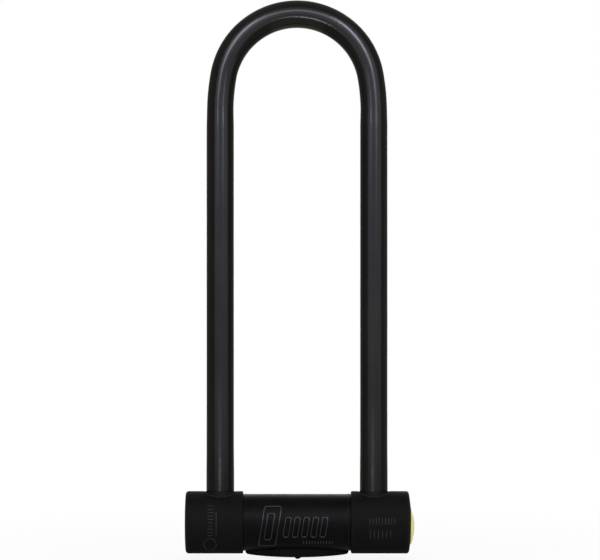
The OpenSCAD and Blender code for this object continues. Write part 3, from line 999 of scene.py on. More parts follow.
def dash_tree(beads: NodeTree) -> TreeTool:
    """Builds the tree that repeats a dash of uneven length along a line and lays them on a drum.

    Args:
        beads: The group that lays curves as beads.

    Returns:
        The tree, ready to run.
    """
    tool = TreeTool(
        "Row of dashes",
        [
            *BEAD_SOCKETS,
            Socket("Count", TreeTool.INT),
            *(Socket(name, TreeTool.VECTOR) for name in ("Start", "Pitch", "Dash")),
            *TreeTool.numbers("Shortest"),
            Socket("Seed", TreeTool.INT),
        ],
    )
    web, entry = tool.web, tool.entry
    line = {"Count": entry["Count"], "Start Location": entry["Start"], "Offset": entry["Pitch"]}
    row = web.add("GeometryNodeMeshLine", line, mode="OFFSET").outputs[0]
    start, end = (web.vector("MULTIPLY", entry["Dash"], (half, half, half)) for half in (-0.5, 0.5))
    dash = web.add("GeometryNodeCurvePrimitiveLine", {"Start": start, "End": end}).outputs[0]
    uneven = web.add("FunctionNodeRandomValue", {"Seed": entry["Seed"]}, data_type="FLOAT")
    least, most = [s for s in uneven.inputs if s.type == "VALUE"][:2]
    web.feed(least, entry["Shortest"])
    web.feed(most, 1.0)
    length = next(s for s in uneven.outputs if s.type == "VALUE")
    spots = {"Points": row, "Instance": dash, "Scale": length}
    dashes = web.add("GeometryNodeInstanceOnPoints", spots).outputs[0]
    lay_beads(tool, beads, web.add("GeometryNodeRealizeInstances", {0: dashes}).outputs[0])
    return tool


def rib_tree() -> TreeTool:
    """Builds the tree that sets straight ribs along Y on the crown of a thumb nub.

    Returns:
        The tree, ready to run.
    """
    tool = TreeTool(
        "Ribs on a nub",
        [
            Socket("Count", TreeTool.INT),
            Socket("Centre", TreeTool.VECTOR),
            *TreeTool.numbers("Crown Radius", "Spread", "Rib Length", "Rib Radius"),
        ],
    )
    web, entry = tool.web, tool.entry
    arc = {
        "Resolution": entry["Count"],
        "Radius": entry["Crown Radius"],
        "Start Angle": web.math("MULTIPLY", entry["Spread"], -0.5),
        "Sweep Angle": entry["Spread"],
    }
    curve = web.add("GeometryNodeCurveArc", arc).outputs[0]
    points = web.add("GeometryNodeCurveToPoints", {"Curve": curve}, mode="EVALUATED")
    parts = web.split(web.add("GeometryNodeInputPosition").outputs[0])
    down = web.join(X=parts["Y"], Z=web.math("MULTIPLY", parts["X"], -1.0))
    place = web.vector("ADD", down, entry["Centre"])
    spots = {"Geometry": points.outputs["Points"], "Position": place}
    laid = web.add("GeometryNodeSetPosition", spots).outputs[0]
    half = web.math("MULTIPLY", entry["Rib Length"], 0.5)
    start, end = (web.join(Y=web.math("MULTIPLY", half, side)) for side in (-1.0, 1.0))
    bar = web.add("GeometryNodeCurvePrimitiveLine", {"Start": start, "End": end}).outputs[0]
    fine = {"Curve": bar, "Count": RIB_POINTS}
    factor = web.add("GeometryNodeSplineParameter").outputs["Factor"]
    off_middle = web.math("ABSOLUTE", web.math("SUBTRACT", web.math("MULTIPLY", factor, 2.0), 1.0))
    full = web.math("SQRT", web.math("SUBTRACT", 1.0, web.math("POWER", off_middle, RIB_BLUNTNESS)))
    circle = {"Resolution": RIB_SIDES, "Radius": entry["Rib Radius"]}
    sweep = {
        "Curve": web.add("GeometryNodeResampleCurve", fine, mode="COUNT").outputs[0],
        "Profile Curve": web.add("GeometryNodeCurvePrimitiveCircle", circle).outputs["Curve"],
        "Scale": web.math("MAXIMUM", full, RIB_END),
        "Fill Caps": True,
    }
    rib = web.add("GeometryNodeCurveToMesh", sweep).outputs[0]
    ribs = web.add("GeometryNodeInstanceOnPoints", {"Points": laid, "Instance": rib})
    tool.close(ribs.outputs[0])
    return tool


# Meshes


class MeshParts:
    """Collects rows of vertices and the faces between them, and makes one object of them."""

    SHARP_ANGLE = math.radians(38)

    def __init__(self) -> None:
        """Starts empty."""
        self.points: list[Sequence[float]] = []
        self.wear: list[float] = []
        self.faces: list[tuple[int, ...]] = []

    def row(self, points: Sequence[Sequence[float]], wear: float = 0.0) -> list[int]:
        """Adds a row of vertices.

        Args:
            points: Their places.
            wear: How much of an edge they are, from 0 to 1.

        Returns:
            Their indices.
        """
        first = len(self.points)
        self.points.extend([tuple(float(c) for c in p) for p in points])
        self.wear.extend([wear] * len(points))
        return list(range(first, len(self.points)))

    def bridge(self, a: Sequence[int], b: Sequence[int]) -> None:
        """Makes the faces between two closed rows of equal length."""
        for i, k in enumerate([*range(1, len(a)), 0]):
            self.faces.append((a[i], a[k], b[k], b[i]))

    def join(self, rows: Sequence[Sequence[int]]) -> None:
        """Makes the faces between each row and the next."""
        for a, b in zip(rows, rows[1:]):
            self.bridge(a, b)

    def fan(self, ring: Sequence[int], centre: Sequence[float]) -> None:
        """Closes a ring at a point."""
        pole = self.row([centre])[0]
        self.faces += [(a, b, pole) for a, b in zip(ring, [*ring[1:], ring[0]])]

    def piece(self, name: str, finish: Finish) -> SceneObject:
        """Makes the object.

        Args:
            name: Its name.
            finish: Its finish.

        Returns:
            The object, smooth, with its faces outwards and its edge wear as an attribute.
        """
        mesh = bpy.data.meshes.new(name)
        mesh.from_pydata(self.points, [], self.faces)
        layer = mesh.attributes.new(EDGE_ATTRIBUTE, "FLOAT", "POINT")
        layer.data.foreach_set("value", np.array(self.wear, np.float32))
        mesh.materials.append(finish.material())
        made = linked(name, mesh)
        point_outwards(made)
        mesh.polygons.foreach_set("use_smooth", [True] * len(mesh.polygons))
        mesh.set_sharp_from_angle(angle=self.SHARP_ANGLE)
        return made


@dataclass(frozen=True)
class Station:
    """One ring of a turned shape: its place along the axis, its radius and its edge wear."""

    along: float
    radius: float
    wear: float = 0.0


def rounded_corner(
    corner: tuple[float, float],
    size: float,
    start: float,
    end: float,
    steps: int = 5,
    wear: float = 1.0,
) -> list[Station]:
    """Stations of a rounded edge.

    Args:
        corner: Place along the axis and radius of the rounding's centre.
        size: The rounding's radius.
        start: Angle at which it starts, in degrees from the axis.
        end: Angle at which it ends.
        steps: Number of steps between them.
        wear: Edge wear in its middle.

    Returns:
        The stations in order.
    """
    made = []
    for i in range(steps + 1):
        angle = math.radians(start + (end - start) * i / steps)
        along, radius = corner[0] + size * math.cos(angle), corner[1] + size * math.sin(angle)
        made.append(Station(along, radius, wear * (1 - abs(2 * i / steps - 1))))
    return made


def round_points(radius: float, sides: int) -> list[tuple[float, float]]:
    """Points of a circle about the origin."""
    turns = [2 * math.pi * j / sides for j in range(sides)]
    return [(radius * math.cos(turn), radius * math.sin(turn)) for turn in turns]


def turned_x(station: Station, sides: int, drop: float = 0.0) -> list[Point]:
    """Points of one ring about an axis along X that lies drop below the crossbar's axis."""
    return [(station.along, y, z - drop) for z, y in round_points(station.radius, sides)]


def turned_z(station: Station, sides: int, x: float = 0.0) -> list[Point]:
    """Points of one ring about an upright axis at x."""
    return [(x + dx, y, station.along) for dx, y in round_points(station.radius, sides)]


@dataclass(frozen=True)
class Port:
    """A round hole that an upright piece passes through, in the wall of a drum along X."""

    x: float
    radius: float
    side: int
    half_length: float
    half_turn: float
    fillet: float = 0.0
    fillet_steps: int = 5


class DrumSkin:
    """One skin of a drum along X: rings of vertices, with a window left open for each port."""

    PATCH_SHARES = (0.78, 0.58, 0.41, 0.27, 0.16, 0.07)

    def __init__(self, parts: MeshParts, stations: Sequence[Station], sides: int) -> None:
        """Adds the skin's rings.

        Args:
            parts: The mesh that they go into.
            stations: The skin's rings from left to right.
            sides: Vertices in a ring.
        """
        self.parts = parts
        self.stations = list(stations)
        self.sides = sides
        self.rings = [parts.row(turned_x(s, sides), s.wear) for s in self.stations]
        self.open: set[tuple[int, int]] = set()

    def window(self, port: Port) -> list[int]:
        """Leaves the faces round a port open.

        Args:
            port: The port.

        Returns:
            The indices of the vertices on the window's edge, in order.
        """
        spots = [s.along for s in self.stations]
        first = min(range(len(spots)), key=lambda i: abs(spots[i] - (port.x - port.half_length)))
        last = min(range(len(spots)), key=lambda i: abs(spots[i] - (port.x + port.half_length)))
        half = round(port.half_turn / (2 * math.pi) * self.sides)
        middle = 0 if port.side > 0 else self.sides // 2
        columns = [(middle + j) % self.sides for j in range(-half, half + 1)]
        for i in range(first, last):
            for j in columns[:-1]:
                self.open.add((i, j))
        edge = [self.rings[i][columns[0]] for i in range(first, last)]
        edge += [self.rings[last][j] for j in columns[:-1]]
        edge += [self.rings[i][columns[-1]] for i in range(last, first, -1)]
        edge += [self.rings[first][j] for j in columns[:0:-1]]
        return edge

    def rim(self, port: Port, radius: float, hole: float) -> list[int]:
        """Fills a port's window up to a circle.

        Args:
            port: The port.
            radius: The skin's own radius there.
            hole: The circle's radius.

        Returns:
            The indices of the circle's vertices.
        """
        outer = self.window(port)
        plan = np.array([self.parts.points[i][:2] for i in outer])
        turn = np.arctan2(plan[:, 1], plan[:, 0] - port.x)
        circle = np.stack([port.x + hole * np.cos(turn), hole * np.sin(turn)], axis=1)
        last = outer
        for share in (*self.PATCH_SHARES, 0.0):
            flat = circle * (1 - share) + plan * share
            up = port.side * np.sqrt(radius**2 - flat[:, 1] ** 2)
            # A rounded port's rim gets full edge wear: partly real wear where the leg rubs, partly
            # a painted highlight for the light that the rim's edge catches.
            wear = 1.0 if share == 0.0 and port.fillet > 0 else 0.0
            ring = self.parts.row(np.column_stack([flat, up]), wear)
            self.parts.bridge(last, ring)
            last = ring
        return last

    def close(self) -> None:
        """Makes the faces between the rings, apart from the windows."""
        for i in range(len(self.rings) - 1):
            a, b = self.rings[i], self.rings[i + 1]
            for j in range(self.sides):
                if (i, j) not in self.open:
                    k = (j + 1) % self.sides
                    self.parts.faces.append((a[j], a[k], b[k], b[j]))


def drill(
    parts: MeshParts, port: Port, skins: tuple[DrumSkin, DrumSkin], radii: tuple[float, float]
) -> None:
    """Makes a port through two skins, with a rounded edge outside whose wear is partly real wear
    and partly a painted highlight.

    Args:
        parts: The mesh.
        port: The port.
        skins: The outer and the inner skin.
        radii: Their radii at the port.
    """
    mouth = skins[0].rim(port, radii[0], port.radius + port.fillet)
    inner = skins[1].rim(port, radii[1], port.radius)
    start = np.array([parts.points[i] for i in mouth])
    turn = np.arctan2(start[:, 1], start[:, 0] - port.x)
    corner = np.column_stack(
        [
            port.x + port.radius * np.cos(turn),
            port.radius * np.sin(turn),
            port.side * np.sqrt(radii[0] ** 2 - (port.radius * np.sin(turn)) ** 2),
        ]
    )
    wall = corner - np.array([0, 0, port.side * port.fillet])
    last = mouth
    if port.fillet > 0:
        for i in range(1, port.fillet_steps + 1):
            t = i / port.fillet_steps
            bend = (1 - t) ** 2 * start + 2 * t * (1 - t) * corner + t**2 * wall
            # The rounded edge's wear fades from the rim inwards; it is partly real wear and partly
            # the rim's painted highlight.
            ring = parts.row(bend, min(1.0, 2 * (1 - t)))
            parts.bridge(last, ring)
            last = ring
    parts.bridge(last, inner)


def even_stations(start: float, end: float, step: float, radius: float) -> list[Station]:
    """Rings of one radius from start to end, about step apart, with both ends."""
    count = max(1, round((end - start) / step))
    return [Station(start + (end - start) * i / count, radius) for i in range(count + 1)]


# The lock's own pieces


class Side(Enum):
    """The two sides of the lock."""

    LEFT = -1
    RIGHT = 1


@dataclass(frozen=True)
class VinylSleeve:
    """The vinyl sleeve that is pulled over the bent bar."""

    leg_spacing: float = 102.8 * MM
    leg_radius: float = 9.3 * MM
    bend_radius: float = 9.05 * MM
    crown_bar_radius: float = 9.42 * MM
    bore_radius: float = 8.83 * MM
    end_height: float = 21.05 * MM
    crown_radius: float = 50.0 * MM
    crown_height: float = 290.4 * MM
    easing_angle: float = 10.0
    step_height: float = 271.2 * MM
    step_width: float = 7.0 * MM
    bunch_low: float = 4 * MM
    bunch_high: float = 40 * MM
    lip_height: float = 0.3 * MM
    lip_fall: float = 0.14 * MM
    wave_depth: float = 0.05 * MM
    wave_scale: float = 28.0
    sides: int = 72
    below_step: float = 9 * MM
    above_step: float = 2.6 * MM
    leg_start: float = 9 * MM
    leg_gap: float = 2 * MM
    leg_pitch: float = 4 * MM
    step_rings: int = 30
    easing_rings: int = 9
    crown_rings: int = 48

    END_RINGS = (0.0, 0.05, 0.12, 0.22, 0.35, 0.55, 0.9, 1.5, 3.0, 5.0)

    def easing(self) -> Point:
        """Works out the slow curve between the right leg and the crown.

        Returns:
            Its radius, and its centre's place in X and in Z.
        """
        turn = math.radians(90 - self.easing_angle)
        gap = self.leg_spacing / 2 - self.crown_radius
        radius = self.crown_radius + gap / (1 - math.sin(turn))
        fall = (radius - self.crown_radius) * math.cos(turn)
        return radius, self.leg_spacing / 2 - radius, self.crown_height - fall

    def path(self) -> list[Point]:
        """Works out the bar's centreline.

        Returns:
            Its points from the left end to the right end.
        """
        radius, easing_x, easing_z = self.easing()
        low, high = self.step_height - self.below_step, self.step_height + self.above_step
        upright = [self.end_height + d for d in np.array(self.END_RINGS) * MM]
        start = self.end_height + self.leg_start
        upright += list(np.arange(start, low - self.leg_gap, self.leg_pitch))
        upright += list(np.linspace(low, high, self.step_rings))
        right = [(self.leg_spacing / 2, 0.0, z) for z in upright]
        for a in np.radians(np.linspace(0, self.easing_angle, self.easing_rings)):
            right.append((easing_x + radius * math.cos(a), 0.0, easing_z + radius * math.sin(a)))
        radius = self.crown_radius
        for a in np.radians(np.linspace(self.easing_angle, 90, self.crown_rings)[1:]):
            right.append((radius * math.cos(a), 0.0, self.crown_height + radius * math.sin(a)))
        left = [(-x, y, z) for x, y, z in right[:-1]]
        return left + right[::-1]

    def build(self) -> SceneObject:
        """Makes the sleeve along its path.

        Returns:
            The piece, which rides on the shackle.
        """
        values = {
            "Leg Spacing": self.leg_spacing,
            "Leg Radius": self.leg_radius,
            "Bend Radius": self.bend_radius,
            "Crown Radius": self.crown_bar_radius,
            "Crown Low": self.crown_height + self.bunch_low,
            "Crown High": self.crown_height + self.bunch_high,
            "Bore Radius": self.bore_radius,
            "Step Height": self.step_height,
            "Step Width": self.step_width,
            "End Height": self.end_height,
            "Lip Height": self.lip_height,
            "Lip Fall": self.lip_fall,
            "Wave Depth": self.wave_depth,
            "Wave Scale": self.wave_scale,
            "Sides": self.sides,
        }
        host = polyline_mesh("bar_path", [(self.path(), False)])
        piece = sleeve_tree().run("vinyl_sleeve", host, values, VINYL)
        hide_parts("shackle_sleeve")
        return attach(piece, "shackle")


@dataclass(frozen=True)
class LegSeal:
    """The rubber ring in a collar's mouth, with a lip that hugs the leg."""

    side: Side
    leg_x: float = 51.4 * MM
    ring_radius: float = 10.35 * MM
    ring_top: float = 18.1 * MM
    lip_radius: float = 9.65 * MM
    lip_top: float = 21.0 * MM
    bore_radius: float = 9.1 * MM
    tube_radius: float = 17.05 * MM
    lip_share: float = 0.45
    ring_round: float = 0.25 * MM
    crease: float = 0.3 * MM
    sides: int = 96

    def build(self) -> SceneObject:
        """Makes the ring.

        Returns:
            The piece, which rides on the body.
        """
        parts = MeshParts()
        x = self.side.value * self.leg_x
        lip_round = (self.lip_radius - self.bore_radius) * self.lip_share
        lip_end = self.lip_top - lip_round
        ring_round, crease = self.ring_round, self.crease
        ring_edge = (self.ring_top - ring_round, self.ring_radius - ring_round)
        outline = [
            *rounded_corner((lip_end, self.bore_radius + lip_round), lip_round, -90, 0, 4, 0.3),
            *rounded_corner((lip_end, self.lip_radius - lip_round), lip_round, 0, 90, 4, 0.3),
            Station(self.ring_top + crease, self.lip_radius),
            Station(self.ring_top + crease / 4, self.lip_radius + crease / 4),
            *rounded_corner(ring_edge, ring_round, 0, 90, 3, 0.2),
        ]
        rings = [parts.row(turned_z(s, self.sides, x), s.wear) for s in outline]
        parts.join(rings)
        feet = []
        for radius in (self.ring_radius, self.bore_radius):
            flat = turned_z(Station(0.0, radius), self.sides, x)
            foot = [(px, y, math.sqrt(self.tube_radius**2 - y**2)) for px, y, _ in flat]
            feet.append(parts.row(foot))
        parts.join([rings[-1], *feet, rings[0]])
        name = self.side.name.lower()
        piece = parts.piece(f"{name}_seal_ring", SEAL)
        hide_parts(f"{name}_leg_seal")
        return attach(piece, "body")


@dataclass(frozen=True)
class Collar:
    """The moulded collar on one end of the crossbar."""

    side: Side
    leg_x: float = 51.4 * MM
    inner_x: float = 36.1 * MM
    outer_x: float = 75.0 * MM
    radius: float = 20.84 * MM
    bore_radius: float = 17.15 * MM
    floor_x: float = 72.6 * MM
    outer_round: float = 2.0 * MM
    inner_round: float = 0.8 * MM
    mouth_radius: float = 10.4 * MM
    mouth_round: float = 0.7 * MM
    dome_rise: float = 1.6 * MM
    cap_drop: float = 2.5 * MM
    cap_seat_radius: float = 12.3 * MM
    cap_hub_radius: float = 6.05 * MM
    cap_seat_x: float = 74.9 * MM
    hollow: float = 0.12 * MM
    window_half_length: float = 13.5 * MM
    window_half_turn: float = 45.0
    sides: int = 160
    step: float = 0.9 * MM

    DISC_SHARES = (0.96, 0.9, 0.7, 0.45, 0.2)
    SEAT_SHARES = (0.85, 0.6, 0.35, 0.14, 0.04, 0.0)

    def skins(self, parts: MeshParts) -> tuple[DrumSkin, DrumSkin]:
        """Adds the rings of both skins.

        Args:
            parts: The mesh.

        Returns:
            The outer and the inner skin.
        """
        step, radius = self.step, self.radius
        window = (self.leg_x - self.window_half_length, self.leg_x + self.window_half_length)
        straight = even_stations(*window, step, radius)
        small, large = self.inner_round, self.outer_round
        bend = self.outer_x - large
        outer = [
            *rounded_corner((self.inner_x + small, radius - small), small, 180, 90, wear=0.2),
            *straight,
            *even_stations(window[1] + step, bend - step, step, radius),
            *rounded_corner((bend, radius - large), large, 90, 0, 8, 0.2),
        ]
        inner = [
            Station(self.inner_x, self.bore_radius),
            *(Station(s.along, self.bore_radius) for s in straight),
            Station(self.floor_x, self.bore_radius),
        ]
        return DrumSkin(parts, outer, self.sides), DrumSkin(parts, inner, self.sides)

    def dome(self, radius: float) -> float:
        """Works out how far the domed end stands out.

        Args:
            radius: Distance from the crossbar's axis.

        Returns:
            The end's place along X.
        """
        edge = self.radius - self.outer_round
        curve = (edge**2 + self.dome_rise**2) / (2 * self.dome_rise)
        return self.outer_x + self.dome_rise - curve + math.sqrt(curve**2 - radius**2)

    def close_flat_end(self, parts: MeshParts, outer: list[int], inner: list[int]) -> None:
        """Closes the left collar's end with a disc that is a trace hollow, and its floor.

        Args:
            parts: The mesh.
            outer: The outer skin's last ring.
            inner: The inner skin's last ring.
        """
        last = outer
        for share in self.DISC_SHARES:
            radius = (self.radius - self.outer_round) * share
            sunk = self.hollow * (1 - share**2)
            ring = parts.row(turned_x(Station(self.outer_x - sunk, radius), self.sides))
            parts.bridge(last, ring)
            last = ring
        parts.fan(last, (self.outer_x - self.hollow, 0.0, 0.0))
        ring = parts.row(turned_x(Station(self.floor_x, self.bore_radius / 2), self.sides))
        parts.bridge(inner, ring)
        parts.fan(ring, (self.floor_x, 0.0, 0.0))

    def close_capped_end(self, parts: MeshParts, outer: list[int], inner: list[int]) -> None:
        """Closes the right collar's domed end, with the seat of the cap.

        Args:
            parts: The mesh.
            outer: The outer skin's last ring.
            inner: The inner skin's last ring.
        """
        edge = np.array([parts.points[i] for i in outer])
        seat = np.array(turned_x(Station(0.0, self.cap_seat_radius), self.sides, self.cap_drop))
        last = outer
        for share in self.SEAT_SHARES:
            flat = edge * share + seat * (1 - share)
            points = [(self.dome(math.hypot(y, z)), y, z) for _, y, z in flat]
            ring = parts.row(points, 0.6 if share < 0.1 else 0.0)
            parts.bridge(last, ring)
            last = ring
        for station in (
            Station(self.cap_seat_x, self.cap_seat_radius),
            Station(self.cap_seat_x, self.cap_hub_radius),
            Station(self.floor_x, self.cap_hub_radius),
        ):
            ring = parts.row(turned_x(station, self.sides, self.cap_drop))
            parts.bridge(last, ring)
            last = ring
        parts.bridge(last, inner)

    def build(self) -> SceneObject:
        """Makes the collar.

        Returns:
            The piece, which rides on the body.
        """
        parts = MeshParts()
        outer, inner = self.skins(parts)
        half_turn = math.radians(self.window_half_turn)
        port = Port(
            self.leg_x, self.mouth_radius, 1, self.window_half_length, half_turn, self.mouth_round
        )
        drill(parts, port, (outer, inner), (self.radius, self.bore_radius))
        outer.close()
        inner.close()
        parts.bridge(outer.rings[0], inner.rings[0])
        if self.side is Side.RIGHT:
            self.close_capped_end(parts, outer.rings[-1], inner.rings[-1])
        else:
            self.close_flat_end(parts, outer.rings[-1], inner.rings[-1])
        parts.points = [(self.side.value * x, y, z) for x, y, z in parts.points]
        name = self.side.name.lower()
        piece = parts.piece(f"{name}_collar_shell", COLLAR)
        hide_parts(f"{name}_collar")
        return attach(piece, "body")


@dataclass(frozen=True)
class MiddleSleeve:
    """The moulded sleeve between the collars, with a fine bead beside each."""

    half_length: float = 36.1 * MM
    radius: float = 18.95 * MM
    bore_radius: float = 17.15 * MM
    bead_inset: float = 1.7 * MM
    bead_rise: float = 0.22 * MM
    bead_half_width: float = 0.55 * MM
    cylinder_hole: float = 7.8 * MM
    peg_x: float = 28.0 * MM
    peg_hole: float = 1.85 * MM
    end_round: float = 0.25 * MM
    bead_wear: float = 0.7
    sides: int = 160
    step: float = 0.9 * MM

    BEAD_SHARES = (0.0, 0.35, 0.8, 1.0, 0.8, 0.35, 0.0)
    CYLINDER_WINDOW = (10.8 * MM, math.radians(36))
    PEG_WINDOW = (3.6 * MM, math.radians(12))

    def profile(self) -> list[Station]:
        """Works out the outer skin, with both beads.

        Returns:
            Its stations from left to right.
        """
        middle = self.half_length - self.bead_inset
        last = len(self.BEAD_SHARES) - 1
        bead = [
            (self.bead_half_width * (2 * i / last - 1), self.bead_rise * r, self.bead_wear * r)
            for i, r in enumerate(self.BEAD_SHARES)
        ]
        right = [Station(middle + dx, self.radius + dr, wear) for dx, dr, wear in bead]
        left = [Station(-s.along, s.radius, s.wear) for s in reversed(right)]
        inner_end = middle - self.bead_half_width
        return [
            Station(-self.half_length, self.radius - self.end_round, 0.2),
            Station(-self.half_length + self.end_round, self.radius),
            *left,
            *even_stations(-inner_end + self.step, inner_end - self.step, self.step, self.radius),
            *right,
            Station(self.half_length - self.end_round, self.radius),
            Station(self.half_length, self.radius - self.end_round, 0.2),
        ]

    def build(self) -> SceneObject:
        """Makes the sleeve.

        Returns:
            The piece, which rides on the body.
        """
        parts = MeshParts()
        profile = self.profile()
        skins = (
            DrumSkin(parts, profile, self.sides),
            DrumSkin(parts, [Station(s.along, self.bore_radius) for s in profile], self.sides),
        )
        ports = [
            Port(0.0, self.cylinder_hole, -1, *self.CYLINDER_WINDOW),
            Port(-self.peg_x, self.peg_hole, -1, *self.PEG_WINDOW),
            Port(self.peg_x, self.peg_hole, -1, *self.PEG_WINDOW),
        ]
        for port in ports:
            drill(parts, port, skins, (self.radius, self.bore_radius))
        for skin in skins:
            skin.close()
        for end in (0, -1):
            parts.bridge(skins[0].rings[end], skins[1].rings[end])
        piece = parts.piece("middle_sleeve", SLEEVE)
        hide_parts("centre_sleeve")
        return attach(piece, "body")


@dataclass(frozen=True)
class Oval:
    """A closed outline in plan: an ellipse, or a box with rounded corners."""

    centre_x: float
    half_x: float
    half_y: float
    corner: Optional[float] = None
    points: int = 192
    corner_points: int = 13

    def outline(self) -> np.ndarray:
        """Works out the outline.

        Returns:
            Its points from its right end, anticlockwise.
        """
        if self.corner is None:
            turn = 2 * math.pi * np.arange(self.points) / self.points
            flat = np.stack([self.half_x * np.cos(turn), self.half_y * np.sin(turn)], axis=1)
            return flat + np.array([self.centre_x, 0.0])
        quarter = self.quarter()
        flipped = quarter[::-1]
        upper = np.concatenate([quarter[:-1], flipped[:-1] * np.array([-1, 1])])
        flat = np.concatenate([upper, -upper])
        return flat + np.array([self.centre_x, 0.0])

    def quarter(self) -> np.ndarray:
        """Works out the first quarter of a rounded box.

        Returns:
            Its points, evenly spaced, with both ends.
        """
        arc = np.radians(np.linspace(0, 90, self.corner_points))
        corner = self.corner
        bend_x = self.half_x - corner + corner * np.cos(arc)
        bend_y = self.half_y - corner + corner * np.sin(arc)
        bend = np.stack([bend_x, bend_y], axis=1)
        line = np.concatenate([[[self.half_x, 0.0]], bend, [[0.0, self.half_y]]])
        length = np.concatenate([[0.0], np.cumsum(np.linalg.norm(np.diff(line, axis=0), axis=1))])
        spots = np.linspace(0, length[-1], self.points // 4 + 1)
        return np.stack([np.interp(spots, length, line[:, axis]) for axis in (0, 1)], axis=1)


@dataclass(frozen=True)
class Bezel:
    """The oval bezel under the sleeve, with the window that the shutter's nub slides in."""

    half_length: float = 34.5 * MM
    half_width: float = 8.5 * MM
    bottom: float = -22.85 * MM
    fall: float = 1.75 * MM
    edge_round: float = 1.6 * MM
    drum_radius: float = 19.0 * MM
    window: Oval = Oval(6.05 * MM, 11.55 * MM, 4.3 * MM, 0.9 * MM)
    channel: Oval = Oval(6.05 * MM, 13.85 * MM, 5.7 * MM, 0.25 * MM)
    channel_floor: float = -22.0 * MM
    channel_roof: float = -20.8 * MM
    key_hole: float = 4.4 * MM
    cylinder_hole: float = 7.8 * MM
    hole_floor: float = -19.55 * MM
    peg_x: float = 28.0 * MM
    peg_radius: float = 1.8 * MM
    peg_top: float = -17.15 * MM
    peg_bottom: float = -19.95 * MM
    peg_round: float = 0.4 * MM
    peg_sides: int = 32
    chamfer: float = 0.35 * MM
    edge_steps: int = 7

    WALL_SHARES = (0.0, 0.12, 0.4, 0.7, 1.0)
    FACE_SHARES = (0.85, 0.6, 0.35, 0.15, 0.05, 0.0)
    SEAT_SHARES = (0.3, 0.65)

    def crown(self, x: np.ndarray) -> np.ndarray:
        """Height of the bezel's lower face along its length."""
        curve = (self.half_length**2 + self.fall**2) / (2 * self.fall)
        return self.bottom + curve - np.sqrt(curve**2 - x**2)

    def drum(self, y: np.ndarray) -> np.ndarray:
        """Height of the sleeve's underside, on which the bezel sits."""
        return -np.sqrt(self.drum_radius**2 - y**2)

    def body(self, parts: MeshParts) -> None:
        """Adds the bezel's closed body, from its wall round to its seat on the sleeve.

        Args:
            parts: The mesh.
        """
        rows: list[tuple[np.ndarray, np.ndarray, float]] = []
        outer = Oval(0.0, self.half_length, self.half_width).outline()
        top = self.drum(outer[:, 1])
        low = self.crown(outer[:, 0]) + self.edge_round
        for share in self.WALL_SHARES:
            rows.append((outer, top * (1 - share) + low * share, 0.0))
        for i in range(1, self.edge_steps + 1):
            turn = math.radians(90 * i / self.edge_steps)
            inset = self.edge_round * (1 - math.cos(turn))
            flat = Oval(0.0, self.half_length - inset, self.half_width - inset).outline()
            height = self.crown(flat[:, 0]) + self.edge_round * (1 - math.sin(turn))
            rows.append((flat, height, 0.6 * (1 - abs(2 * i / self.edge_steps - 1))))
        face = rows[-1][0]
        chamfer = self.chamfer
        mouth = Oval(
            self.window.centre_x,
            self.window.half_x + chamfer,
            self.window.half_y + chamfer,
            self.window.corner + chamfer,
        ).outline()
        for share in self.FACE_SHARES:
            flat = face * share + mouth * (1 - share)
            rows.append((flat, self.crown(flat[:, 0]), 0.5 if share == 0.0 else 0.0))
        window = self.window.outline()
        rows.append((window, self.crown(window[:, 0]) + chamfer, 0.4))
        channel = self.channel.outline()
        flat_ring = np.ones(len(window))
        hole = Oval(0.0, self.key_hole, self.key_hole).outline()
        bore = Oval(0.0, self.cylinder_hole, self.cylinder_hole).outline()
        for outline, height in (
            (window, self.channel_floor),
            (channel, self.channel_floor),
            (channel, self.channel_roof),
            (channel * 0.5 + hole * 0.5, self.channel_roof),
            (hole, self.channel_roof),
            (hole, self.hole_floor),
            (bore, self.hole_floor),
        ):
            rows.append((outline, height * flat_ring, 0.0))
        rows.append((bore, self.drum(bore[:, 1]), 0.0))
        for share in self.SEAT_SHARES:
            flat = bore * (1 - share) + outer * share
            rows.append((flat, self.drum(flat[:, 1]), 0.0))
        made = [parts.row(np.column_stack([flat, height]), wear) for flat, height, wear in rows]
        parts.join(made + made[:1])

    def peg(self, parts: MeshParts, x: float) -> None:
        """Adds one of the pegs that hold the bezel in the sleeve.

        Args:
            parts: The mesh.
            x: The peg's place.
        """
        edge, radius, sides = self.peg_round, self.peg_radius, self.peg_sides
        low = parts.row(turned_z(Station(self.peg_bottom, radius), sides, x))
        shoulder = parts.row(turned_z(Station(self.peg_top - edge, radius), sides, x), 0.4)
        high = parts.row(turned_z(Station(self.peg_top, radius - edge), sides, x), 0.4)
        parts.join([low, shoulder, high])
        parts.fan(low, (x, 0.0, self.peg_bottom))
        parts.fan(high, (x, 0.0, self.peg_top))

    def build(self) -> SceneObject:
        """Makes the bezel.

        Returns:
            The piece, which rides on the body.
        """
        parts = MeshParts()
        self.body(parts)
        for side in Side:
            self.peg(parts, side.value * self.peg_x)
        piece = parts.piece("oval_bezel", BEZEL)
        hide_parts("keyway_bezel")
        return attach(piece, "body")


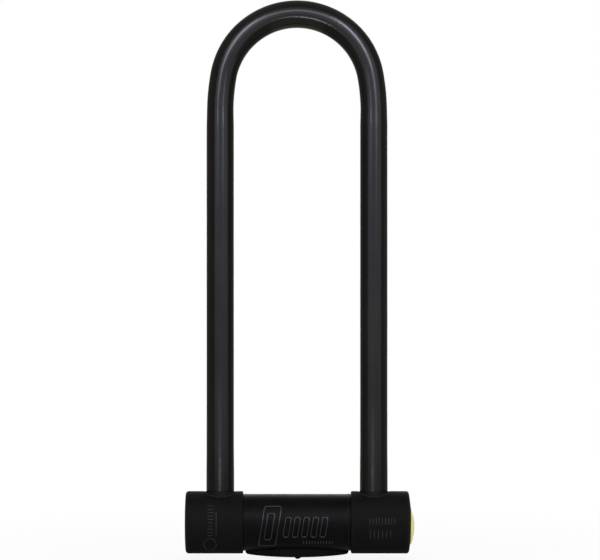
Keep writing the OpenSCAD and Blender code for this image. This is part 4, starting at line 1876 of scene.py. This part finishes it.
@dataclass(frozen=True)
class DustShutter:
    """The sliding plate over the keyway, with its ribbed thumb nub."""

    plate: Oval = Oval(0.0, 7.5 * MM, 5.6 * MM, 0.6 * MM)
    bottom: float = -21.9 * MM
    top: float = -20.9 * MM
    nub_x: float = 0.45 * MM
    nub_radius: float = 2.75 * MM
    nub_half_width: float = 3.2 * MM
    nub_bottom: float = -24.45 * MM
    nub_root: float = 0.3 * MM
    bevel: float = 0.18 * MM
    soft: float = 0.5 * MM
    rib_rise: float = 0.14 * MM
    rib_radius: float = 0.26 * MM
    rib_count: int = 7
    rib_spread: float = 104.0
    rib_margin: float = 1.2 * MM
    arc_points: int = 33
    end_slices: int = 5

    def body(self) -> SceneObject:
        """Makes the plate, with bevelled edges and its nub.

        Returns:
            The piece.
        """
        parts = MeshParts()
        plate, bevel = self.plate, self.bevel
        large = plate.outline()
        inset = (plate.half_x - bevel, plate.half_y - bevel, plate.corner - bevel)
        small = Oval(plate.centre_x, *inset).outline()
        rows = []
        for flat, height, wear in (
            (small, self.bottom, 0.3),
            (large, self.bottom + bevel, 0.3),
            (large, self.top - bevel, 0.0),
            (small, self.top, 0.0),
        ):
            rows.append(parts.row(np.column_stack([flat, np.full(len(flat), height)]), wear))
        parts.join(rows)
        parts.fan(rows[0], (self.plate.centre_x, 0.0, self.bottom))
        parts.fan(rows[-1], (self.plate.centre_x, 0.0, self.top))
        self.nub(parts)
        return parts.piece("dust_shutter_plate", BEZEL)

    def nub(self, parts: MeshParts) -> None:
        """Adds the nub, a half round across the plate with soft ends.

        Args:
            parts: The plate's mesh.
        """
        radius = self.nub_radius - self.rib_rise
        centre_z = self.nub_bottom + self.nub_radius
        turns = np.radians(np.linspace(-90, 90, self.arc_points))
        slices = []
        for y, inset in self.nub_slices():
            r = radius - inset
            arc = [(self.nub_x + r * math.sin(t), y, centre_z - r * math.cos(t)) for t in turns]
            roof = self.bottom + self.nub_root
            closing = [(self.nub_x + r, y, roof), (self.nub_x - r, y, roof)]
            slices.append(parts.row(arc + closing, 0.5 if inset else 0.15))
        parts.join(slices)
        for ring, side in ((slices[0], -1), (slices[-1], 1)):
            parts.fan(ring, (self.nub_x, side * self.nub_half_width, centre_z - radius * 0.4))

    def nub_slices(self) -> list[tuple[float, float]]:
        """Works out the slices that the nub is made of.

        Returns:
            Each slice's place across the plate, and its inset.
        """
        soft, ends = self.soft, []
        for i in range(self.end_slices + 1):
            turn = math.radians(90 * i / self.end_slices)
            y = self.nub_half_width - soft + soft * math.sin(turn)
            ends.append((y, soft * (1 - math.cos(turn))))
        return [(-y, inset) for y, inset in reversed(ends)] + ends

    def ribs(self) -> SceneObject:
        """Makes the ribs on the nub.

        Returns:
            The piece.
        """
        values = {
            "Count": self.rib_count,
            "Centre": (self.nub_x, 0.0, self.nub_bottom + self.nub_radius),
            "Crown Radius": self.nub_radius - self.rib_radius,
            "Spread": math.radians(self.rib_spread),
            "Rib Length": 2 * self.nub_half_width - self.rib_margin,
            "Rib Radius": self.rib_radius,
        }
        return rib_tree().run("dust_shutter_ribs", polyline_mesh("rib_host", []), values, BEZEL)

    def build(self) -> list[SceneObject]:
        """Makes the plate and its ribs.

        Returns:
            Both, which ride on the shutter.
        """
        plate, ribs = self.body(), self.ribs()
        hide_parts("dust_shutter")
        for piece in (plate, ribs):
            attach(piece, "shutter")
        return [plate, ribs]


@dataclass(frozen=True)
class EndCap:
    """The domed yellow cap in the right collar's end."""

    radius: float = 12.0 * MM
    seat_x: float = 74.95 * MM
    crown_x: float = 78.6 * MM
    edge_thickness: float = 1.5 * MM
    edge_round: float = 0.5 * MM
    hub_radius: float = 6.0 * MM
    hub_end_x: float = 72.6 * MM
    drop: float = 2.5 * MM
    seat_gap: float = 0.05 * MM
    hub_round: float = 0.3 * MM
    back_round: float = 0.2 * MM
    sides: int = 128

    DOME_SHARES = (0.93, 0.8, 0.62, 0.45, 0.3, 0.15)

    def dome(self, radius: float) -> float:
        """Works out how far the dome's face stands out.

        Args:
            radius: Distance from the cap's centre.

        Returns:
            The face's place along X.
        """
        rise = self.crown_x - self.seat_x + self.seat_gap - self.edge_thickness
        curve = (self.radius**2 + rise**2) / (2 * rise)
        return self.crown_x - curve + math.sqrt(curve**2 - radius**2)

    def build(self) -> SceneObject:
        """Makes the cap.

        Returns:
            The piece, which rides on the body.
        """
        parts = MeshParts()
        edge_radius = self.radius - self.edge_round
        edge_x = self.dome(edge_radius) - self.edge_round
        outline = [
            Station(self.hub_end_x, self.hub_radius - self.hub_round),
            Station(self.hub_end_x + self.hub_round, self.hub_radius),
            Station(self.seat_x, self.hub_radius),
            Station(self.seat_x, self.radius - self.back_round),
            Station(self.seat_x + self.back_round, self.radius, 0.3),
            *rounded_corner((edge_x, edge_radius), self.edge_round, 90, 0, 6, 0.8),
        ]
        for share in self.DOME_SHARES:
            outline.append(Station(self.dome(self.radius * share), self.radius * share))
        rings = [parts.row(turned_x(s, self.sides, self.drop), s.wear) for s in outline]
        parts.join(rings)
        parts.fan(rings[0], (self.hub_end_x, 0.0, -self.drop))
        parts.fan(rings[-1], (self.crown_x, 0.0, -self.drop))
        piece = parts.piece("end_cap_dome", CAP)
        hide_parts("end_cap")
        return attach(piece, "body")


@dataclass(frozen=True)
class DashRow:
    """A row of dashes on a drum: its first dash, the way to the next and the dash, in X and Z."""

    start: tuple[float, float]
    pitch: tuple[float, float]
    dash: tuple[float, float]
    count: int
    shortest: float
    seed: int
    bead: float = 0.4 * MM


@dataclass(frozen=True)
class SurfaceMarks:
    """Plain raised marks: rows of dashes and outlines, with no letters in them."""

    sleeve_radius: float = 18.95 * MM
    sleeve_bead: float = 0.42 * MM
    sleeve_rise: float = 0.2 * MM
    tick_rise: float = 0.16 * MM
    box_corner: float = 1.1 * MM
    lean: float = 0.16
    low_boxes: int = 5
    collar_radius: float = 20.84 * MM
    collar_bead: float = 0.42 * MM
    collar_rise: float = 0.05 * MM
    ring_x: float = -57.8 * MM
    ring_z: float = -13.1 * MM
    ring_radius: float = 4.1 * MM
    ring_points: int = 40
    step: float = 0.5 * MM
    bead_sides: int = 10
    beads: NodeTree = field(default_factory=bead_group)

    def values(self, drum: float, bead: float, rise: float) -> dict[str, SocketValue]:
        """The inputs that both trees share, for beads of one size on one drum."""
        sizes = (drum, bead, rise, self.step, self.bead_sides)
        return {item.name: size for item, size in zip(BEAD_SOCKETS, sizes)}

    def outlines(
        self,
        name: str,
        lines: Sequence[tuple[Line, bool]],
        sizes: tuple[float, float, float],
        corner: float,
        finish: Finish,
    ) -> SceneObject:
        """Lays outlines on a drum.

        Args:
            name: The piece's name.
            lines: Points of each outline in X and Z, and whether it is closed.
            sizes: Radius of the drum, radius of the bead, and how far the bead stands out.
            corner: Radius of the outlines' corners.
            finish: The beads' finish.

        Returns:
            The piece.
        """
        flat = [([(x, 0.0, z) for x, z in line], closed) for line, closed in lines]
        values = {**self.values(*sizes), "Corner Radius": corner}
        host = polyline_mesh(name + "_lines", flat)
        return outline_tree(self.beads).run(name, host, values, finish)

    def dashes(
        self, name: str, row: DashRow, drum: float, rise: float, finish: Finish
    ) -> SceneObject:
        """Lays one row of dashes on a drum.

        Args:
            name: The piece's name.
            row: The row.
            drum: The drum's radius.
            rise: How far the dashes stand out.
            finish: Their finish.

        Returns:
            The piece.
        """
        values = {
            **self.values(drum, row.bead, rise),
            "Count": row.count,
            "Start": (row.start[0], 0.0, row.start[1]),
            "Pitch": (row.pitch[0], 0.0, row.pitch[1]),
            "Dash": (row.dash[0], 0.0, row.dash[1]),
            "Shortest": row.shortest,
            "Seed": row.seed,
        }
        return dash_tree(self.beads).run(name, polyline_mesh(name + "_host", []), values, finish)

    def slanted(self, x: float, low: float, high: float, width: float) -> Line:
        """Corners of a slanted box whose foot starts at x."""
        top = self.lean * (high - low)
        return [(x, low), (x + width, low), (x + width + top, high), (x + top, high)]

    def sleeve_relief(self) -> list[SceneObject]:
        """Makes the slanted boxes and the row of ticks on the middle sleeve.

        Returns:
            The boxes and the ticks.
        """
        tall = [
            (self.slanted(-25.6 * MM, -14.4 * MM, 11.8 * MM, 11.2 * MM), True),
            (self.slanted(-22.0 * MM, -10.2 * MM, 7.4 * MM, 4.6 * MM), True),
        ]
        low = [
            (self.slanted((-9.4 + 6.1 * i) * MM, -8.4 * MM, 4.8 * MM, 3.6 * MM), True)
            for i in range(self.low_boxes)
        ]
        sizes = (self.sleeve_radius, self.sleeve_bead, self.sleeve_rise)
        boxes = self.outlines("sleeve_relief", [*tall, *low], sizes, self.box_corner, RELIEF)
        row = DashRow(
            start=(4.4 * MM, -11.9 * MM),
            pitch=(1.9 * MM, 0.0),
            dash=(0.3 * MM, 2.4 * MM),
            count=11,
            shortest=0.7,
            seed=5,
        )
        return [boxes, self.dashes("sleeve_ticks", row, self.sleeve_radius, self.tick_rise, RELIEF)]

    def left_collar_marks(self) -> list[SceneObject]:
        """Makes the ring with its line and the column of bars on the left collar.

        Returns:
            The ring and the bars.
        """
        radius = self.ring_radius
        ring = [
            (self.ring_x + radius * math.cos(a), self.ring_z + radius * math.sin(a))
            for a in np.linspace(0, 2 * math.pi, self.ring_points, endpoint=False)
        ]
        line = [(-53.6 * MM, 8.2 * MM), (-53.6 * MM, -6.9 * MM)]
        sizes = (self.collar_radius, self.collar_bead, self.collar_rise)
        thin = self.outlines("left_collar_ring", [(ring, True), (line, False)], sizes, 0.0, PRINT)
        row = DashRow(
            start=(-57.4 * MM, 12.2 * MM),
            pitch=(0.0, -2.15 * MM),
            dash=(4.2 * MM, 0.0),
            count=10,
            shortest=0.55,
            seed=3,
        )
        bars = self.dashes("left_collar_bars", row, self.collar_radius, self.collar_rise, PRINT)
        return [thin, bars]

    def right_collar_marks(self) -> list[SceneObject]:
        """Makes the two rows of upright dashes on the right collar.

        Returns:
            The upper and the lower row.
        """
        upper = DashRow(
            start=(48.4 * MM, 2.3 * MM),
            pitch=(2.05 * MM, 0.0),
            dash=(0.0, 4.6 * MM),
            count=9,
            shortest=0.7,
            seed=11,
            bead=0.36 * MM,
        )
        lower = DashRow(
            start=(48.6 * MM, -6.2 * MM),
            pitch=(2.7 * MM, 0.0),
            dash=(0.0, 6.0 * MM),
            count=6,
            shortest=0.75,
            seed=12,
            bead=0.5 * MM,
        )
        return [
            self.dashes(f"right_collar_row_{i}", row, self.collar_radius, self.collar_rise, PRINT)
            for i, row in enumerate((upper, lower))
        ]

    def build(self) -> list[SceneObject]:
        """Makes all marks.

        Returns:
            The pieces, which ride on the body.
        """
        made = []
        for pieces, slot in (
            (self.sleeve_relief(), "sleeve_plastic"),
            (self.left_collar_marks(), "collar_plastic"),
            (self.right_collar_marks(), "collar_plastic"),
        ):
            for piece in pieces:
                made.append(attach(piece, "body"))
        return made


@dataclass(frozen=True)
class Mechanism:
    """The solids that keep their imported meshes, each with its finish."""

    finishes: tuple[tuple[Finish, tuple[str, ...]], ...] = (
        (HARDENED_STEEL, ("shackle",)),
        (TUBE_STEEL, ("crossbar_tube",)),
        (ZINC, ("left_end_block", "right_end_block", "left_bolt_guide", "right_bolt_guide")),
        (BRIGHT_STEEL, ("end_block_pins", "guide_pins", "housing_pins")),
        (BRIGHT_STEEL, ("barrel_circlip", "spacer_washers")),
        (GROUND_STEEL, ("left_bolt", "right_bolt", "left_bolt_pin", "right_bolt_pin")),
        (GROUND_STEEL, ("cam_washer", "front_disc", "sidebar", "scroll_cam")),
        (BRASS, ("cylinder_housing", "cylinder_barrel", "detainer_discs")),
        (SEAL, ("cylinder_o_ring",)),
    )

    def dress(self) -> list[str]:
        """Gives each solid its finish.

        Returns:
            The solids' names.
        """
        named = []
        for finish, nodes in self.finishes:
            for node in nodes:
                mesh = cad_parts[node].data
                mesh.materials.clear()
                mesh.materials.append(finish.material())
                named.append(node)
        return named


# The stage


class Use(Enum):
    """What a lamp is for: lighting surfaces, or showing in their reflections."""

    LIGHT = "light"
    MIRROR = "mirror"


@dataclass(frozen=True)
class SoftBox:
    """A rectangular lamp that faces a point."""

    name: str
    place: Point
    target: Point
    width: float
    height: float
    radiance: float
    use: Use
    colour: Colour = (0.9, 0.94, 1.0)

    def build(self) -> SceneObject:
        """Makes the lamp, which the camera doesn't see.

        Returns:
            The lamp.
        """
        data = bpy.data.lights.new(self.name, "AREA")
        data.shape = "RECTANGLE"
        data.size = self.width
        data.size_y = self.height
        data.energy = self.radiance * math.pi * self.width * self.height
        data.color = self.colour
        lamp = linked(self.name, data)
        lamp.location = self.place
        aim = Vector(self.target) - Vector(self.place)
        lamp.rotation_euler = aim.to_track_quat("-Z", "Y").to_euler()
        lamp.visible_camera = False
        lamp.visible_glossy = self.use is Use.MIRROR
        lamp.visible_diffuse = self.use is Use.LIGHT
        return lamp


@dataclass(frozen=True)
class Card:
    """A card beside the object, which only reflections show: dark felt, or a pale reflector."""

    name: str
    centre: Point
    half_sides: tuple[Point, Point]
    glow: float = 0.2
    foot_glow: Optional[float] = None
    fade_height: float = 0.56
    tint: Colour = (1.0, 1.0, 1.0)

    def build(self) -> SceneObject:
        """Makes the card.

        Returns:
            The card.
        """
        middle = np.array(self.centre)
        a, b = (np.array(side) for side in self.half_sides)
        corner_points = [middle - a - b, middle + a - b, middle + a + b, middle - a + b]
        mesh = bpy.data.meshes.new(self.name)
        mesh.from_pydata([tuple(map(float, p)) for p in corner_points], [], [(0, 1, 2, 3)])
        mesh.materials.append(self.material())
        card = linked(self.name, mesh)
        card.visible_camera = False
        card.visible_diffuse = False
        card.visible_shadow = False
        card.visible_transmission = False
        return card

    def material(self) -> Material:
        """Makes matte felt with the card's own glow, which may fade towards its foot.

        Returns:
            The material.
        """
        made, web, shader = open_material(self.name + "_felt")
        glow: Number = self.glow
        if self.foot_glow is not None:
            height = web.split(web.add("ShaderNodeTexCoord").outputs["Object"])["Z"]
            foot = self.centre[2] - self.half_sides[1][2]
            ends = (foot, foot + self.fade_height)
            glow = web.spread(height, ends, (self.foot_glow, self.glow), smooth=True)
        web.fill(
            shader,
            {
                "Base Color": FELT,
                "Roughness": 1.0,
                "Specular IOR Level": 0.0,
                "Emission Color": (*self.tint, 1.0),
                "Emission Strength": glow,
            },
        )
        return made


@dataclass(frozen=True)
class Stage:
    """The floor, the world, the lamps and the camera."""

    floor_height: float = -24.5 * MM
    floor_sides: int = 96
    floor_near: tuple[float, float] = (0.12, 0.45)
    floor_white: float = 0.88
    fibre_scale: float = 900.0
    view_x: float = 2.0 * MM
    view_distance: float = 1.85
    view_height: float = 162.3 * MM
    frame_width: float = 0.402
    sensor: float = 36.0
    ambient: float = 0.8
    boxes: tuple[SoftBox, ...] = (
        SoftBox("left_key", (-0.8, -1.2, 0.35), (0.0, 0.0, 0.15), 0.7, 0.9, 1.0, Use.LIGHT),
        SoftBox("right_key", (0.8, -1.2, 0.35), (0.0, 0.0, 0.15), 0.7, 0.9, 1.0, Use.LIGHT),
        SoftBox("overhead_fill", (0.0, -1.5, 1.3), (0.0, 0.0, 0.2), 1.6, 0.6, 1.3, Use.LIGHT),
        SoftBox("overhead_bar", (0.0, -1.6, 1.12), (0.0, 0.0, 0.2), 2.2, 0.45, 3.7, Use.MIRROR),
    )
    cards: tuple[Card, ...] = (
        Card("left_card", (-0.5, 0.25, 0.5), ((0.0, 0.7, 0.0), (0.0, 0.0, 0.52)), tint=WARM),
        Card("right_card", (0.5, 0.35, 0.5), ((0.0, 0.6, 0.0), (0.0, 0.0, 0.52)), tint=WARM),
        Card("back_card", (0.0, 0.98, 0.5), ((0.55, 0.0, 0.0), (0.0, 0.0, 0.52)), glow=2.0),
        Card("top_card", (0.0, 0.25, 1.0), ((0.5, 0.0, 0.0), (0.0, 0.75, 0.0)), glow=0.3),
        Card("low_card", (0.0, 0.1, -0.0243), ((0.7, 0.0, 0.0), (0.0, 0.77, 0.0)), tint=WARM),
        Card(
            "foot_card", (0.0, 0.1, -0.0242), ((0.15, 0.0, 0.0), (0.0, 0.77, 0.0)), 0.45, tint=WARM
        ),
        Card("pale_card", (0.05, -0.85, -0.0242), ((0.05, 0.0, 0.0), (0.0, 0.08, 0.0)), glow=7.0),
        Card(
            "pale_strip",
            (-0.1, -0.71, -0.0242),
            ((0.1, 0.0, 0.0), (0.0, 0.03, 0.0)),
            glow=34.0,
            tint=COOL,
        ),
        Card(
            "front_card",
            (0.0, -2.3, 0.79),
            ((4.0, 0.0, 0.0), (0.0, 0.0, 0.81)),
            glow=1.75,
            foot_glow=0.8,
            fade_height=0.5,
            tint=COOL,
        ),
        Card(
            "left_reflector",
            (-0.45, -1.13, 0.67),
            ((0.1, -0.04, 0.0), (0.0, 0.0, 0.48)),
            glow=16.5,
            foot_glow=1.0,
            tint=COOL,
        ),
        Card(
            "right_reflector",
            (0.46, -1.11, 0.67),
            ((0.1, 0.04, 0.0), (0.0, 0.0, 0.48)),
            glow=20.0,
            foot_glow=1.0,
            tint=COOL,
        ),
    )

    FLOOR_RADII = (0.05, 0.1, 0.2, 0.4, 0.8, 1.6, 2.6)

    def seen_rays(self, web: NodeWeb) -> NodeSocket:
        """Adds a mask of the rays that see the white of the stage.

        Args:
            web: The nodes that it joins.

        Returns:
            1 for camera, glossy and transmission rays, and otherwise 0.
        """
        path = web.add("ShaderNodeLightPath")
        seen = web.math("MAXIMUM", path.outputs["Is Camera Ray"], path.outputs["Is Glossy Ray"])
        return web.math("MAXIMUM", seen, path.outputs["Is Transmission Ray"])

    def world(self) -> None:
        """Sets a world that is white where it is seen and lights the object at a plain level."""
        world = bpy.data.worlds.new("studio")
        world.use_nodes = True
        web = NodeWeb(world.node_tree)
        shader = world.node_tree.nodes["Background"]
        strength = web.spread(self.seen_rays(web), (0.0, 1.0), (self.ambient, 1.0))
        web.feed(shader.inputs["Strength"], strength)
        shader.inputs["Color"].default_value = WHITE
        bpy.context.scene.world = world

    def floor(self) -> SceneObject:
        """Makes the pale floor, which keeps the shadow and lets a view from below through.

        Returns:
            The floor.
        """
        parts = MeshParts()
        rings = [
            parts.row(turned_z(Station(self.floor_height, radius), self.floor_sides))
            for radius in self.FLOOR_RADII
        ]
        parts.join(rings)
        parts.fan(rings[0][::-1], (0.0, 0.0, self.floor_height))
        mesh = bpy.data.meshes.new("floor")
        mesh.from_pydata(parts.points, [], parts.faces)
        piece = linked("floor", mesh)
        if mesh.polygons[0].normal.z < 0:
            mesh.flip_normals()
        mesh.materials.append(self.floor_material())
        return piece

    def floor_material(self) -> Material:
        """Makes pale matte paper that is plain white away from the object.

        Returns:
            The material.
        """
        made, web, shader = open_material("floor_paper")
        place = web.add("ShaderNodeTexCoord").outputs["Object"]
        paper = web.mix_colour(web.noise(place, self.fibre_scale, 4.0), *PAPER)
        web.fill(shader, {"Base Color": paper, "Roughness": 0.9, "Specular IOR Level": 0.05})
        near = web.spread(web.length(place), self.floor_near, (self.floor_white, 1.0), smooth=True)
        glow = web.math("MULTIPLY", near, self.seen_rays(web))
        white = web.add("ShaderNodeEmission", {"Color": WHITE}).outputs[0]
        upper = web.add("ShaderNodeMixShader", {0: glow, 1: shader.outputs[0], 2: white}).outputs[0]
        back = web.add("ShaderNodeNewGeometry").outputs["Backfacing"]
        clear = web.add("ShaderNodeBsdfTransparent").outputs[0]
        faced = web.add("ShaderNodeMixShader", {0: back, 1: upper, 2: clear}).outputs[0]
        web.feed(made.node_tree.nodes["Material Output"].inputs["Surface"], faced)
        return made

    def camera(self) -> SceneObject:
        """Makes the level camera in front of the lock.

        Returns:
            The camera.
        """
        data = bpy.data.cameras.new("camera")
        data.sensor_width = self.sensor
        data.lens = self.sensor * self.view_distance / self.frame_width
        data.clip_start = 0.01
        data.clip_end = 100.0
        camera = linked("camera", data)
        camera.location = (self.view_x, -self.view_distance, self.view_height)
        camera.rotation_euler = (math.radians(90), 0.0, 0.0)
        bpy.context.scene.camera = camera
        return camera

    def build(self) -> None:
        """Sets up the whole stage."""
        bpy.context.scene.view_settings.view_transform = "Standard"
        self.world()
        self.floor()
        for item in (*self.boxes, *self.cards):
            item.build()
        self.camera()


def main() -> None:
    """Builds the dressed lock and its stage."""
    logging.basicConfig(level=logging.INFO, format="%(name)s: %(message)s")
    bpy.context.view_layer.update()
    Stage().build()
    log.info("finishes on %d packed solids", len(Mechanism().dress()))
    builders = [VinylSleeve(), *(LegSeal(s) for s in Side)]
    builders += [Collar(Side.LEFT, outer_x=74.45 * MM), Collar(Side.RIGHT)]
    builders += [MiddleSleeve(), Bezel(), DustShutter(), EndCap(), SurfaceMarks()]
    for builder in builders:
        made = builder.build()
        for piece in made if isinstance(made, list) else [made]:
            log.info("%s: %d faces", piece.name, len(piece.data.polygons))


if __name__ == "__main__":
    main()
